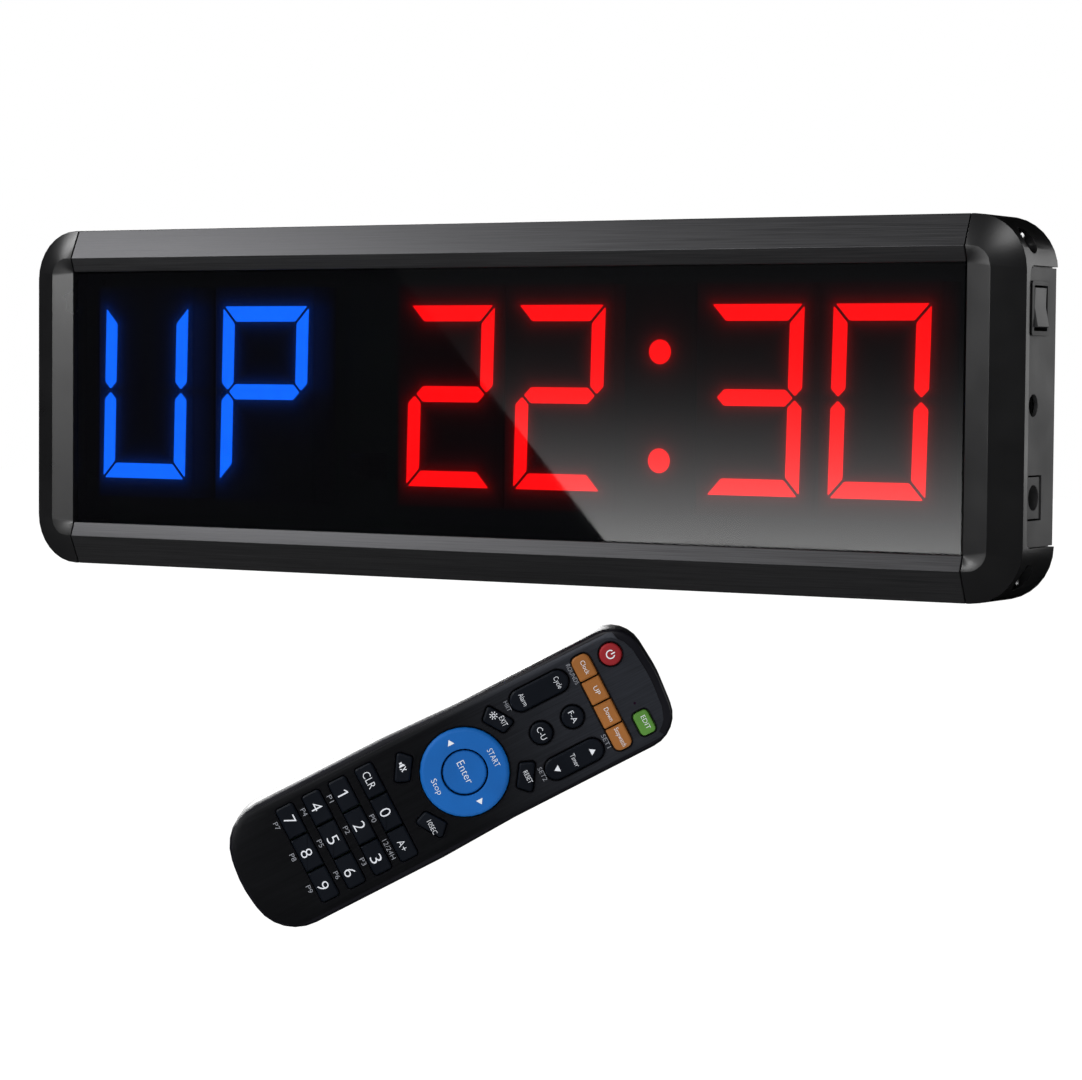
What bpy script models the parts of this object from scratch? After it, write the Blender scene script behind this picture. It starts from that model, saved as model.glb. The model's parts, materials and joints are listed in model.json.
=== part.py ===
"""Gym round timer: six LED digits in an aluminium housing, with its infrared hand remote.

Lengths are in millimetres and become metres when a mesh is made. +Z is up, the screen faces
-Y and the origin is the centre of the housing's back face. The remote has its own frame: x
across it, y along it towards its top end, z out of its face.
"""

import math

import bmesh
import bpy
from mathutils import Matrix, Vector

MM = 0.001
GAP = 0.3  # clearance between neighbouring pieces

# Timer housing
WIDTH = 290.0
HEIGHT = 90.0
DEPTH = 22.0
WALL = 1.6
CAP_LENGTH = 14.0
CAP_WALL = 1.9
CAP_CORNER = 13.0
RIDGE_CORNER = 5.0
OUTER_BEVEL = 7.4
OUTER_BEVEL_DEPTH = 3.4
INNER_BEVEL = 3.8
INNER_BEVEL_DEPTH = 1.27
RIDGE_FLAT = 0.25
BACK_CORNER = 1.0

# Lens, digits and board
LIP = 0.45
LENS_THICKNESS = 1.5
LENS_EDGE = 2.0
RAIL = 0.8  # how far the lens and board rails stand back from the screen's edge
DIGIT_WIDTH = 31.5
DIGIT_Z = 1.45
DIGIT_MARGIN = 5.15  # between a digit block and the rails
DIGIT_EDGE = 1.0
ROUND_DIGITS = (22.6, 61.7)  # centres, in from the screen's left end
MINUTE_DIGITS = (-11.3, 20.8)  # centres, from the screen's middle
SECOND_DIGITS = (55.7, 22.8)  # centres, in from the screen's right end
COLON_IN = 81.7
COLON_WIDTH = 19.4
BOARD_THICKNESS = 1.6
BOARD_END = 3.0
BOARD_ROOM = 1.28  # between the board and the back slots' walls
RECEIVER_X = -40.3
RECEIVER_Z = -17.0
RECEIVER_WIDTH = 6.2
RECEIVER_HEIGHT = 7.0
RECEIVER_DOME = 1.2

# Slots in the back, and the hangers that slide in them
SLOT_DROP = 13.6  # the slots' middle, in from the rails
SLOT_MOUTH = 9.0
SLOT_MOUTH_DEPTH = 1.4
SLOT_UNDERCUT = 13.0
SLOT_UNDERCUT_DEPTH = 2.2
SLOT_WALL = 1.2
HANGER_X = 85.0
HANGER_LENGTH = 20.0
KEYHOLE_HEAD = 3.0
KEYHOLE_NECK = 1.6
KEYHOLE_REACH = 5.0

# Screws that hold the end caps
SCREW_IN = 6.2  # from the housing's top and bottom
SCREW_RADIUS = 1.35
SCREW_HEAD_RADIUS = 2.7
SCREW_HEAD_HEIGHT = 1.9
SCREW_GRIP = 10.0
SCREW_SEAT = 8.0  # the cap's own material under a screw's head
SCREW_SLIT = 1.0

# Port plate and ports in the right end
PLATE_SET_BACK = 5.9  # from the front ridge
PLATE_IN_TOP = 12.3
PLATE_IN_BOTTOM = 13.3
PLATE_CORNER = 2.0
PLATE_THICKNESS = 1.0
PLATE_SINK = 0.2
PLATE_BACK = -0.6
SWITCH_BEHIND = 5.25  # the ports' centres, behind the plate's front edge
JACK_BEHIND = 4.4
BUZZER_BEHIND = 2.9
SWITCH_BELOW = 9.45  # below the plate's top
JACK_ABOVE = 11.3  # above the plate's bottom
BUZZER_Z = 0.9
SWITCH_WIDTH = 8.9
SWITCH_HEIGHT = 11.3
SWITCH_DEPTH = 12.0
SWITCH_RIM = 0.35
SWITCH_RIM_HEIGHT = 0.25
ROCKER_WIDTH = 7.0
ROCKER_HEIGHT = 9.2
ROCKER_CREST = 2.9
ROCKER_VALLEY = 2.4
ROCKER_FOOT = 2.2
ROCKER_PIVOT = 2.0  # the pivot's depth below the port plate's face
ROCKER_TILT = 5.0  # degrees either side of level
ROCKER_ROOM = 0.6
ROCKER_SIDE = 0.35
JACK_WIDTH = 7.2
JACK_HEIGHT = 9.8
JACK_DEPTH = 12.0
JACK_BORE = 2.9
JACK_BORE_DEPTH = 9.5
JACK_PIN = 1.0
JACK_PIN_RECESS = 3.6
JACK_SINK = 0.3
BUZZER_RADIUS = 4.5
BUZZER_DEPTH = 8.6
BUZZER_PORT = 2.6

# Remote: place and shell
REMOTE_PLACE = (4.65, -42.0, -46.45)  # from the middle of the housing's lower back edge
REMOTE_TURN = 31.2  # degrees about Z, towards a viewer on the right
REMOTE_SLANT = 27.67  # degrees of its long axis above level
REMOTE_LENGTH = 114.4
REMOTE_TOP_WIDTH = 31.2
REMOTE_BOTTOM_WIDTH = 32.8
REMOTE_WALL = 1.4
REMOTE_FACE = 1.3
REMOTE_BACK = 1.6
REMOTE_TOP_CORNER = 8.5
REMOTE_BOTTOM_CORNER = 11.5
REMOTE_TOP_CROWN = 1.3
REMOTE_BOTTOM_CROWN = 2.6
REMOTE_CROWN_RADIUS = 30.0
REMOTE_FLARE_Y = 10.0
REMOTE_EDGE = 2.0
PARTING_Z = -1.5

# Remote: keys, heights in the remote's own z
KEY_RISE = 1.0
KEY_FLANGE = 0.6
ROW_FLANGE_INSET = 0.1
KEY_FLANGE_TOP = 1.9  # below the face
KEY_FOOT = 2.6  # below the face
KEY_EDGE = 0.35
ROUND_KEY = 2.74
POWER_KEY = (-9.37, -8.25)  # key places: across, and along from the top end
EDIT_KEY = (9.18, -8.54)
EDIT_SIZE = (5.87, 3.87)
EDIT_CORNER = 1.0
MODE_ROW_ALONG = -15.48
MODE_ROW_WIDTH = 25.2
MODE_ROW_HEIGHT = 4.56
MODE_ROW_CORNER = 1.5
MODE_KEY_GAP = 0.4
PILL_X = 9.35
PILL_ALONG = -27.7
PILL_SIZE = (5.4, 15.35)
ROUND_KEYS_ALONG = (-23.37, -31.89)
RING_ALONG = -52.82
RING_RADIUS = 10.9
RING_INNER = 5.75
RING_RISE = 1.3
RING_FOOT = 1.95  # below the face
ENTER_RADIUS = 5.4
WEB_INNER = 6.3
WEB_OUTER = 8.2
WEB_TOP = 2.45  # below the face
WEB_THICKNESS = 0.6
CORNER_KEY = ((11.9, 12.4), (5.5, 16.4), (4.1, 12.9), (9.1, 9.5))
CORNER_KEY_ROUND = 0.7
NUMBERS_ALONG = -71.95
NUMBER_PITCH = 7.2
NUMBER_HEIGHT = 4.6
NUMBER_MIDDLE = 8.4
NUMBER_OUTER = 7.9
NUMBER_GAP = 0.55
NUMBER_CORNER = 0.7
NUMBER_RISE = 0.7

# Remote: inside
REMOTE_BOARD_TOP = 3.7  # below the face
REMOTE_BOARD_THICKNESS = 1.2
REMOTE_BOARD_MARGIN = 0.6
CELL_RADIUS = 5.25
CELL_LENGTH = 44.0
CELL_NUB = (1.9, 0.8)
CELL_ALONG = 28.2  # from the bottom end to the cells' middle
CELL_GAP = 0.5
COVER_SIDE = 0.4  # how far the cover reaches past the cells
COVER_TOP = 2.2
LED_RADIUS = 1.5
LED_LENGTH = 8.0
LED_Z = 1.6
LED_SINK = 0.2

# Places worked out from the sizes above
SEAM_X = WIDTH / 2 - CAP_LENGTH
FRONT_Y = -DEPTH
BEVEL_Y = FRONT_Y + OUTER_BEVEL_DEPTH
SCREEN_Y = FRONT_Y + INNER_BEVEL_DEPTH
TOP_Z = HEIGHT / 2
RIDGE_Z = TOP_Z - OUTER_BEVEL
SCREEN_Z = RIDGE_Z - INNER_BEVEL
LENS_FRONT = SCREEN_Y + LIP + GAP
GROOVE_Z = SCREEN_Z + LENS_EDGE + GAP
RAIL_Z = SCREEN_Z + RAIL
SLOT_Z = RAIL_Z - SLOT_DROP
SLOT_FLOOR = -(SLOT_MOUTH_DEPTH + SLOT_UNDERCUT_DEPTH)
BOARD_BACK = SLOT_FLOOR - SLOT_WALL - BOARD_ROOM
BOARD_FRONT = BOARD_BACK - BOARD_THICKNESS
DIGIT_FRONT = LENS_FRONT + LENS_THICKNESS + GAP
DIGIT_BACK = BOARD_FRONT - GAP
DIGIT_HEIGHT = 2 * (RAIL_Z - DIGIT_Z - DIGIT_MARGIN)
DIGIT_CENTRES = (
    *(x - SEAM_X for x in ROUND_DIGITS), *MINUTE_DIGITS, *(SEAM_X - x for x in SECOND_DIGITS),
)
COLON_X = SEAM_X - COLON_IN
SCREW_Y = (DIGIT_FRONT + BOARD_FRONT) / 2
SCREW_Z = TOP_Z - SCREW_IN
PLATE_FRONT = FRONT_Y + PLATE_SET_BACK
PLATE_TOP = TOP_Z - PLATE_IN_TOP
PLATE_BOTTOM = PLATE_IN_BOTTOM - TOP_Z
PLATE_X = WIDTH / 2 - PLATE_SINK
WALL_X = PLATE_X - PLATE_THICKNESS - GAP
POCKET_X = WALL_X - CAP_WALL
SWITCH_Y = PLATE_FRONT + SWITCH_BEHIND
SWITCH_Z = PLATE_TOP - SWITCH_BELOW
JACK_Y = PLATE_FRONT + JACK_BEHIND
JACK_Z = PLATE_BOTTOM + JACK_ABOVE
BUZZER_Y = PLATE_FRONT + BUZZER_BEHIND
REMOTE_END = REMOTE_LENGTH / 2
CELL_ROOM = 2 * (CELL_RADIUS + GAP)
REMOTE_THICKNESS = REMOTE_BOARD_TOP + REMOTE_BOARD_THICKNESS + CELL_ROOM + REMOTE_BACK
FACE_Z = REMOTE_THICKNESS / 2
BACK_Z = -REMOTE_THICKNESS / 2
CELL_X = CELL_RADIUS + CELL_GAP / 2
CELL_Z = FACE_Z - REMOTE_BOARD_TOP - REMOTE_BOARD_THICKNESS - GAP - CELL_RADIUS
COVER_Z = CELL_Z - CELL_RADIUS - GAP
CELL_Y = CELL_ALONG - REMOTE_END
RING_Y = REMOTE_END + RING_ALONG
PILL_Y = REMOTE_END + PILL_ALONG
MODE_ROW_Y = REMOTE_END + MODE_ROW_ALONG


# Outlines

def circle(x, y, radius, count=20):
    turns = [2 * math.pi * (i + 0.5) / count for i in range(count)]
    return [(x + radius * math.cos(a), y + radius * math.sin(a)) for a in turns]


def rounded(corners):
    """An outline through corners (x, y, radius, segments), each turned into an arc."""
    points = []
    for i, (x, y, radius, segments) in enumerate(corners):
        if radius <= 0:
            points.append((x, y))
            continue
        here = Vector((x, y))
        before = (Vector(corners[i - 1][:2]) - here).normalized()
        after = (Vector(corners[(i + 1) % len(corners)][:2]) - here).normalized()
        half = before.angle(after) / 2
        centre = here + (before + after).normalized() * radius / math.sin(half)
        start = here + before * radius / math.tan(half) - centre
        end = here + after * radius / math.tan(half) - centre
        first = math.atan2(start.y, start.x)
        sweep = math.remainder(math.atan2(end.y, end.x) - first, 2 * math.pi)
        for step in range(segments + 1):
            angle = first + sweep * step / segments
            points.append((centre.x + radius * math.cos(angle), centre.y + radius * math.sin(angle)))
    return points


def rectangle(x, y, width, height, radius=0.0, segments=3):
    sides = ((-1, -1), (1, -1), (1, 1), (-1, 1))
    return rounded([(x + a * width / 2, y + b * height / 2, radius, segments) for a, b in sides])


def grown(outline, distance):
    """The outline of a convex shape moved outwards by a distance."""
    result = []
    for i, point in enumerate(outline):
        here = Vector(point)
        entry = (here - Vector(outline[i - 1])).normalized()
        leave = (Vector(outline[(i + 1) % len(outline)]) - here).normalized()
        normal = Vector((entry.y + leave.y, -entry.x - leave.x)).normalized()
        spread = max(normal.dot(Vector((entry.y, -entry.x))), 0.5)
        result.append(tuple(here + normal * distance / spread))
    return result


# Meshes: an outline is laid in the plane that a place function names and carried along its axis

def facing_front(a, b, height):
    return Vector((a, height, b))


def facing_side(a, b, height):
    return Vector((height, a, b))


def facing_up(a, b, height):
    return Vector((a, b, height))


def facing_end(a, b, height):
    return Vector((a, height, b))


def stack(levels, place, bm=None):
    """A solid through outlines of equal point counts, given as (outline, height) levels."""
    bm = bm or bmesh.new()
    outline, low = levels[0]
    ring = [bm.verts.new(place(a, b, low)) for a, b in outline]
    base = face = bm.faces.new(ring)
    base.normal_update()
    rise = next(height - low for _, height in levels if height != low)
    if base.normal.dot(place(0, 0, rise)) < 0:
        base.normal_flip()
    for outline, height in levels[1:]:
        below = face
        extruded = bmesh.ops.extrude_face_region(bm, geom=[face])["geom"]
        face = next(part for part in extruded if isinstance(part, bmesh.types.BMFace))
        if below is not base:
            bm.faces.remove(below)
        raised = [min(face.verts, key=lambda v: (v.co - old.co).length) for old in ring]
        for vert, (a, b) in zip(raised, outline):
            vert.co = place(a, b, height)
        ring = raised
    return bm


def prism(outline, low, high, place, bm=None):
    return stack([(outline, low), (outline, high)], place, bm)


def block(x, y, z, bm=None):
    """A box from (low, high) pairs."""
    return prism(rectangle(sum(x) / 2, sum(z) / 2, x[1] - x[0], z[1] - z[0]), *y, facing_front, bm)


# Objects

def finish(name, colour, roughness, metallic=0.0, emission=0.0):
    material = bpy.data.materials.new(name)
    material.use_nodes = True
    shader = material.node_tree.nodes["Principled BSDF"]
    shader.inputs["Base Color"].default_value = (*colour, 1.0)
    shader.inputs["Roughness"].default_value = roughness
    shader.inputs["Metallic"].default_value = metallic
    shader.inputs["Emission Color"].default_value = (*colour, 1.0)
    shader.inputs["Emission Strength"].default_value = emission
    material.diffuse_color = (*colour, 1.0)
    return material


def add(name, bm, look, pivot=(0.0, 0.0, 0.0), parent=None):
    """An object from a mesh in millimetres, with its origin at the pivot."""
    bmesh.ops.translate(bm, vec=-Vector(pivot), verts=bm.verts)
    bmesh.ops.scale(bm, vec=Vector((MM, MM, MM)), verts=bm.verts)
    mesh = bpy.data.meshes.new(name)
    bm.to_mesh(mesh)
    bm.free()
    mesh.shade_smooth()
    mesh.set_sharp_from_angle(angle=math.radians(30))
    thing = bpy.data.objects.new(name, mesh)
    bpy.context.scene.collection.objects.link(thing)
    if look:
        mesh.materials.append(finish(name, *look))
    thing.parent = parent
    thing.location = Vector(pivot) * MM
    return thing


def combine(thing, bm, operation="DIFFERENCE", pivot=(0.0, 0.0, 0.0)):
    """Cuts a solid away from an object, or keeps only what the two share."""
    tool = add(f"{thing.name}_tool", bm, None, pivot, thing.parent)
    tool.hide_render = True
    tool.display_type = "WIRE"
    boolean = thing.modifiers.new(operation.lower(), "BOOLEAN")
    boolean.operation = operation
    boolean.object = tool
    return thing


# Finishes: colour, roughness, metallic, emission
BLACK_ALUMINIUM = ((0.022, 0.023, 0.026), 0.35, 0.9)
BLACK_PLASTIC = ((0.018, 0.018, 0.02), 0.4)
PORT_PLASTIC = ((0.05, 0.05, 0.055), 0.5)
SCREEN_TINT = ((0.01, 0.01, 0.012), 0.06)
BOARD_GREEN = ((0.02, 0.16, 0.07), 0.5)
STEEL = ((0.72, 0.72, 0.73), 0.25, 1.0)
SEGMENT_BLUE = ((0.01, 0.08, 0.9), 0.4, 0.0, 1.0)
SEGMENT_RED = ((0.9, 0.01, 0.02), 0.4, 0.0, 1.0)
REMOTE_BLACK = ((0.012, 0.012, 0.016), 0.38)
KEY_DARK = ((0.02, 0.023, 0.032), 0.55)
KEY_RED = ((0.42, 0.03, 0.035), 0.5)
KEY_ORANGE = ((0.5, 0.19, 0.05), 0.5)
KEY_GREEN = ((0.12, 0.34, 0.06), 0.5)
KEY_BLUE = ((0.02, 0.16, 0.5), 0.5)
CELL_WRAP = ((0.3, 0.31, 0.34), 0.35, 0.6)


# Timer

def housing_outline():
    """The extrusion's section as (y, z): round its upper half, then back through its mirror."""
    low, high = SLOT_Z - SLOT_MOUTH / 2, SLOT_Z + SLOT_MOUTH / 2
    under_low, under_high = SLOT_Z - SLOT_UNDERCUT / 2, SLOT_Z + SLOT_UNDERCUT / 2
    outside = [
        (0, low), (-SLOT_MOUTH_DEPTH, low), (-SLOT_MOUTH_DEPTH, under_low),
        (SLOT_FLOOR, under_low), (SLOT_FLOOR, under_high), (-SLOT_MOUTH_DEPTH, under_high),
        (-SLOT_MOUTH_DEPTH, high), (0, high),
        (0, TOP_Z - BACK_CORNER), (-BACK_CORNER, TOP_Z),
        (BEVEL_Y, TOP_Z), (FRONT_Y, RIDGE_Z), (FRONT_Y, RIDGE_Z - RIDGE_FLAT),
        (SCREEN_Y, SCREEN_Z),
    ]
    bore = SCREW_RADIUS + GAP
    opening = math.asin(SCREW_SLIT / 2 / bore)
    arc_steps = 10
    turns = [
        -math.pi / 2 - opening - (2 * math.pi - 2 * opening) * i / arc_steps
        for i in range(arc_steps + 1)
    ]
    screw_bore = [(SCREW_Y + bore * math.cos(a), SCREW_Z + bore * math.sin(a)) for a in turns]
    board_front, board_back = BOARD_FRONT - GAP, BOARD_BACK + GAP
    inside = [
        (SCREEN_Y + LIP, SCREEN_Z), (SCREEN_Y + LIP, GROOVE_Z),
        (DIGIT_FRONT, GROOVE_Z), (DIGIT_FRONT, RAIL_Z),
        (SCREW_Y - SCREW_SLIT / 2, RAIL_Z), *screw_bore, (SCREW_Y + SCREW_SLIT / 2, RAIL_Z),
        (board_front, RAIL_Z), (board_front, GROOVE_Z),
        (board_back, GROOVE_Z), (board_back, RAIL_Z),
        (board_back + SLOT_WALL, RAIL_Z), (board_back + SLOT_WALL, TOP_Z - WALL),
        (-WALL, TOP_Z - WALL), (-WALL, under_high + SLOT_WALL),
        (SLOT_FLOOR - SLOT_WALL, under_high + SLOT_WALL),
        (SLOT_FLOOR - SLOT_WALL, under_low - SLOT_WALL), (-WALL, under_low - SLOT_WALL),
    ]
    upper = outside + inside
    return upper + [(y, -z) for y, z in reversed(upper)]


def make_housing():
    end = SEAM_X - GAP / 2
    add("housing_extrusion", prism(housing_outline(), -end, end, facing_side), BLACK_ALUMINIUM)


def cap_outline(half_width, half_height, radius, side):
    """An end cap's outline as (x, z), from its lower seam corner round to its upper one."""
    seam = SEAM_X + GAP / 2
    corner_steps = 8
    corners = rounded([
        (seam, -half_height, 0, 0),
        (half_width, -half_height, radius, corner_steps),
        (half_width, half_height, radius, corner_steps),
        (seam, half_height, 0, 0),
    ])
    return [(side * x, z) for x, z in corners]


def cap_solid(side):
    """An end cap's outer shape, before the front dips to the screen's edge."""
    silhouette = cap_outline(WIDTH / 2, TOP_Z, CAP_CORNER, side)
    ridge = cap_outline(WIDTH / 2 - OUTER_BEVEL, RIDGE_Z, RIDGE_CORNER, side)
    return stack([(silhouette, 0.0), (silhouette, BEVEL_Y), (ridge, FRONT_Y)], facing_front)


def screen_dip():
    """The shallow tray between the front ridge and the screen's edge."""
    inset = 2 * RIDGE_FLAT
    width, height = WIDTH - 2 * OUTER_BEVEL - inset, 2 * RIDGE_Z - inset
    steps = 8
    ridge = rectangle(0, 0, width, height, RIDGE_CORNER - RIDGE_FLAT, steps)
    screen = rectangle(0, 0, 2 * SEAM_X, 2 * SCREEN_Z, GAP, steps)
    return stack([(ridge, FRONT_Y - DEPTH), (ridge, FRONT_Y), (screen, SCREEN_Y)], facing_front)


def make_caps():
    seat_x = SEAM_X + GAP / 2 + SCREW_SEAT
    hollow_half = RAIL_Z - 2 * GAP
    for side, name in ((-1, "left_end_cap"), (1, "right_end_cap")):
        cap = add(name, cap_solid(side), BLACK_PLASTIC)
        combine(cap, screen_dip())
        hollow = sorted((side * (SEAM_X - GAP), side * POCKET_X))
        combine(cap, block(hollow, (BEVEL_Y + GAP, -CAP_WALL), (-hollow_half, hollow_half)))
        for z in (-SCREW_Z, SCREW_Z):
            shank = circle(SCREW_Y, z, SCREW_RADIUS + GAP)
            head = circle(SCREW_Y, z, SCREW_HEAD_RADIUS + GAP)
            levels = [(shank, SEAM_X - GAP), (shank, seat_x), (head, seat_x), (head, WIDTH / 2 + GAP)]
            combine(cap, stack([(o, side * x) for o, x in levels], facing_side))
    combine(cap, port_recess())
    combine(cap, port_holes(POCKET_X - GAP, WALL_X + GAP))


def make_cap_screws():
    head_x = SEAM_X + GAP / 2 + SCREW_SEAT + GAP
    for name, side, z in (
        ("cap_screw_left_low", -1, -SCREW_Z), ("cap_screw_left_high", -1, SCREW_Z),
        ("cap_screw_right_low", 1, -SCREW_Z), ("cap_screw_right_high", 1, SCREW_Z),
    ):
        shank = circle(SCREW_Y, z, SCREW_RADIUS)
        head = circle(SCREW_Y, z, SCREW_HEAD_RADIUS)
        crown = circle(SCREW_Y, z, SCREW_HEAD_RADIUS * 0.7)
        levels = [
            (shank, SEAM_X - SCREW_GRIP), (shank, head_x), (head, head_x),
            (head, head_x + SCREW_HEAD_HEIGHT / 2), (crown, head_x + SCREW_HEAD_HEIGHT),
        ]
        add(name, stack([(o, side * x) for o, x in levels], facing_side), STEEL)


def make_lens():
    edge_x = SEAM_X - 2 * GAP
    edge_z = GROOVE_Z - GAP
    depth = (LENS_FRONT, LENS_FRONT + LENS_THICKNESS)
    add("display_lens", block((-edge_x, edge_x), depth, (-edge_z, edge_z)), SCREEN_TINT)


def digit_block(x, width):
    """A display module: a block whose front edge is chamfered."""
    body = rectangle(x, DIGIT_Z, width, DIGIT_HEIGHT)
    face = rectangle(x, DIGIT_Z, width - 2 * DIGIT_EDGE, DIGIT_HEIGHT - 2 * DIGIT_EDGE)
    levels = [(body, DIGIT_BACK), (body, DIGIT_FRONT + DIGIT_EDGE), (face, DIGIT_FRONT)]
    return stack(levels, facing_front)


def make_display():
    for number, x in enumerate(DIGIT_CENTRES, 1):
        look = SEGMENT_BLUE if number <= len(ROUND_DIGITS) else SEGMENT_RED
        add(f"digit_{number}", digit_block(x, DIGIT_WIDTH), look)
    add("colon_module", digit_block(COLON_X, COLON_WIDTH), SEGMENT_RED)
    lens = rectangle(RECEIVER_X, RECEIVER_Z, RECEIVER_WIDTH, RECEIVER_HEIGHT, RECEIVER_DOME)
    dome = grown(lens, -RECEIVER_DOME)
    levels = [(lens, DIGIT_BACK), (lens, DIGIT_FRONT + RECEIVER_DOME), (dome, DIGIT_FRONT)]
    receiver = stack(levels, facing_front)
    add("infrared_receiver", receiver, BLACK_PLASTIC)
    edge_x = SEAM_X - BOARD_END
    edge_z = GROOVE_Z - GAP
    board = block((-edge_x, edge_x), (BOARD_FRONT, BOARD_BACK), (-edge_z, edge_z))
    add("main_board", board, BOARD_GREEN)


def keyhole(x):
    """A keyhole lying along the slot, head hole first."""
    turn = math.asin(KEYHOLE_NECK / KEYHOLE_HEAD)
    steps = 14
    arc = [turn + (2 * math.pi - 2 * turn) * i / steps for i in range(steps + 1)]
    head = [(x + KEYHOLE_HEAD * math.cos(a), SLOT_Z + KEYHOLE_HEAD * math.sin(a)) for a in arc]
    turns = [math.pi * (i / 6 - 0.5) for i in range(7)]
    tip = [(x + KEYHOLE_REACH + KEYHOLE_NECK * math.cos(a), SLOT_Z + KEYHOLE_NECK * math.sin(a))
           for a in turns]
    return head + tip


def make_hangers():
    for name, x in (("left_hanger", -HANGER_X), ("right_hanger", HANGER_X)):
        plate = rectangle(x, SLOT_Z, HANGER_LENGTH, SLOT_UNDERCUT - 2 * GAP)
        nose = rectangle(x, SLOT_Z, HANGER_LENGTH - 2 * GAP, SLOT_MOUTH - 2 * GAP)
        step_y = -SLOT_MOUTH_DEPTH - GAP
        levels = [(plate, SLOT_FLOOR + GAP), (plate, step_y), (nose, step_y), (nose, -GAP)]
        hanger = add(name, stack(levels, facing_front), STEEL, (x, 0.0, SLOT_Z))
        hole = prism(keyhole(x - KEYHOLE_HEAD), SLOT_FLOOR - GAP, GAP, facing_front)
        combine(hanger, hole, pivot=(x, 0.0, SLOT_Z))


# Ports in the right end

def port_plate_outline(clearance=0.0):
    corner = PLATE_CORNER + clearance
    front, back = PLATE_FRONT - clearance, PLATE_BACK + clearance
    low, high = PLATE_BOTTOM - clearance, PLATE_TOP + clearance
    return rounded([(front, low, corner, 4), (back, low, 0, 0), (back, high, 0, 0), (front, high, corner, 4)])


def port_recess():
    """The recess for the port plate, open at the cap's back."""
    outline = [(y if y < PLATE_BACK else GAP, z) for y, z in port_plate_outline(GAP)]
    return prism(outline, WALL_X, WIDTH / 2 + GAP, facing_side)


def port_holes(low, high):
    """The passages for the switch, the buzzer's sound and the power jack, as one cutter."""
    outlines = (
        rectangle(SWITCH_Y, SWITCH_Z, SWITCH_WIDTH + 2 * GAP, SWITCH_HEIGHT + 2 * GAP),
        rectangle(JACK_Y, JACK_Z, JACK_WIDTH + 2 * GAP, JACK_HEIGHT + 2 * GAP),
        circle(BUZZER_Y, BUZZER_Z, BUZZER_PORT),
    )
    bm = bmesh.new()
    for outline in outlines:
        prism(outline, low, high, facing_side, bm)
    return bm


def make_port_plate():
    plate = prism(port_plate_outline(), PLATE_X - PLATE_THICKNESS, PLATE_X, facing_side)
    port_plate = add("port_plate", plate, PORT_PLASTIC)
    combine(port_plate, port_holes(PLATE_X - PLATE_THICKNESS - GAP, PLATE_X + GAP))


def make_power_switch():
    rim = SWITCH_RIM + GAP
    bezel = rectangle(SWITCH_Y, SWITCH_Z, SWITCH_WIDTH + 2 * rim, SWITCH_HEIGHT + 2 * rim, 0.6)
    body = rectangle(SWITCH_Y, SWITCH_Z, SWITCH_WIDTH, SWITCH_HEIGHT, 0.2)
    seat_x = PLATE_X + GAP
    levels = [
        (body, PLATE_X - SWITCH_DEPTH), (body, seat_x),
        (bezel, seat_x), (bezel, seat_x + SWITCH_RIM_HEIGHT),
    ]
    switch = add("power_switch_body", stack(levels, facing_side), BLACK_PLASTIC)
    pivot_x = PLATE_X - ROCKER_PIVOT
    pocket = rectangle(
        SWITCH_Y, SWITCH_Z, ROCKER_WIDTH + 2 * ROCKER_SIDE, ROCKER_HEIGHT + 2 * ROCKER_ROOM, 0.2
    )
    floor_x = pivot_x - ROCKER_FOOT - ROCKER_ROOM
    combine(switch, prism(pocket, floor_x, PLATE_X + DEPTH, facing_side))

    half = ROCKER_HEIGHT / 2
    profile = [
        (-ROCKER_FOOT, -ROCKER_FOOT), (-ROCKER_FOOT, ROCKER_FOOT), (1.0, half), (ROCKER_CREST, half),
        (ROCKER_VALLEY, 0.0), (ROCKER_CREST, -half), (1.0, -half),
    ]
    tilt = Matrix.Rotation(math.radians(ROCKER_TILT), 2)
    turned = [tilt @ Vector(point) for point in profile]
    outline = [(pivot_x + x, SWITCH_Z + z) for x, z in turned]
    low, high = SWITCH_Y - ROCKER_WIDTH / 2, SWITCH_Y + ROCKER_WIDTH / 2
    rocker = prism(outline, low, high, facing_front)
    add("power_rocker", rocker, BLACK_PLASTIC, (pivot_x, SWITCH_Y, SWITCH_Z))


def make_power_jack():
    face_x = PLATE_X - JACK_SINK
    body = rectangle(JACK_Y, JACK_Z, JACK_WIDTH, JACK_HEIGHT)
    jack = add("power_jack", prism(body, face_x - JACK_DEPTH, face_x, facing_side), BLACK_PLASTIC)
    bore = stack(
        [
            (circle(JACK_Y, JACK_Z, JACK_BORE, 24), face_x + GAP),
            (circle(JACK_Y, JACK_Z, JACK_BORE, 24), face_x - JACK_BORE_DEPTH),
            (circle(JACK_Y, JACK_Z, JACK_PIN, 24), face_x - JACK_BORE_DEPTH),
            (circle(JACK_Y, JACK_Z, JACK_PIN, 24), face_x - JACK_PIN_RECESS),
        ],
        facing_side,
    )
    combine(jack, bore)


def make_buzzer():
    face_x = POCKET_X - GAP
    body = circle(BUZZER_Y, BUZZER_Z, BUZZER_RADIUS)
    buzzer = prism(body, face_x - BUZZER_DEPTH, face_x, facing_side)
    add("buzzer", buzzer, BLACK_PLASTIC)


# Remote

def make_remote_frame():
    frame = bpy.data.objects.new("remote_frame", None)
    bpy.context.scene.collection.objects.link(frame)
    turn = Matrix.Rotation(math.radians(REMOTE_TURN), 4, "Z")
    upright = Matrix.Rotation(math.radians(90), 4, "X")
    slant = Matrix.Rotation(math.radians(REMOTE_SLANT - 90), 4, "Z")
    place = Matrix.Translation((Vector(REMOTE_PLACE) - Vector((0, 0, TOP_Z))) * MM)
    frame.matrix_world = place @ turn @ upright @ slant
    return frame


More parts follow.
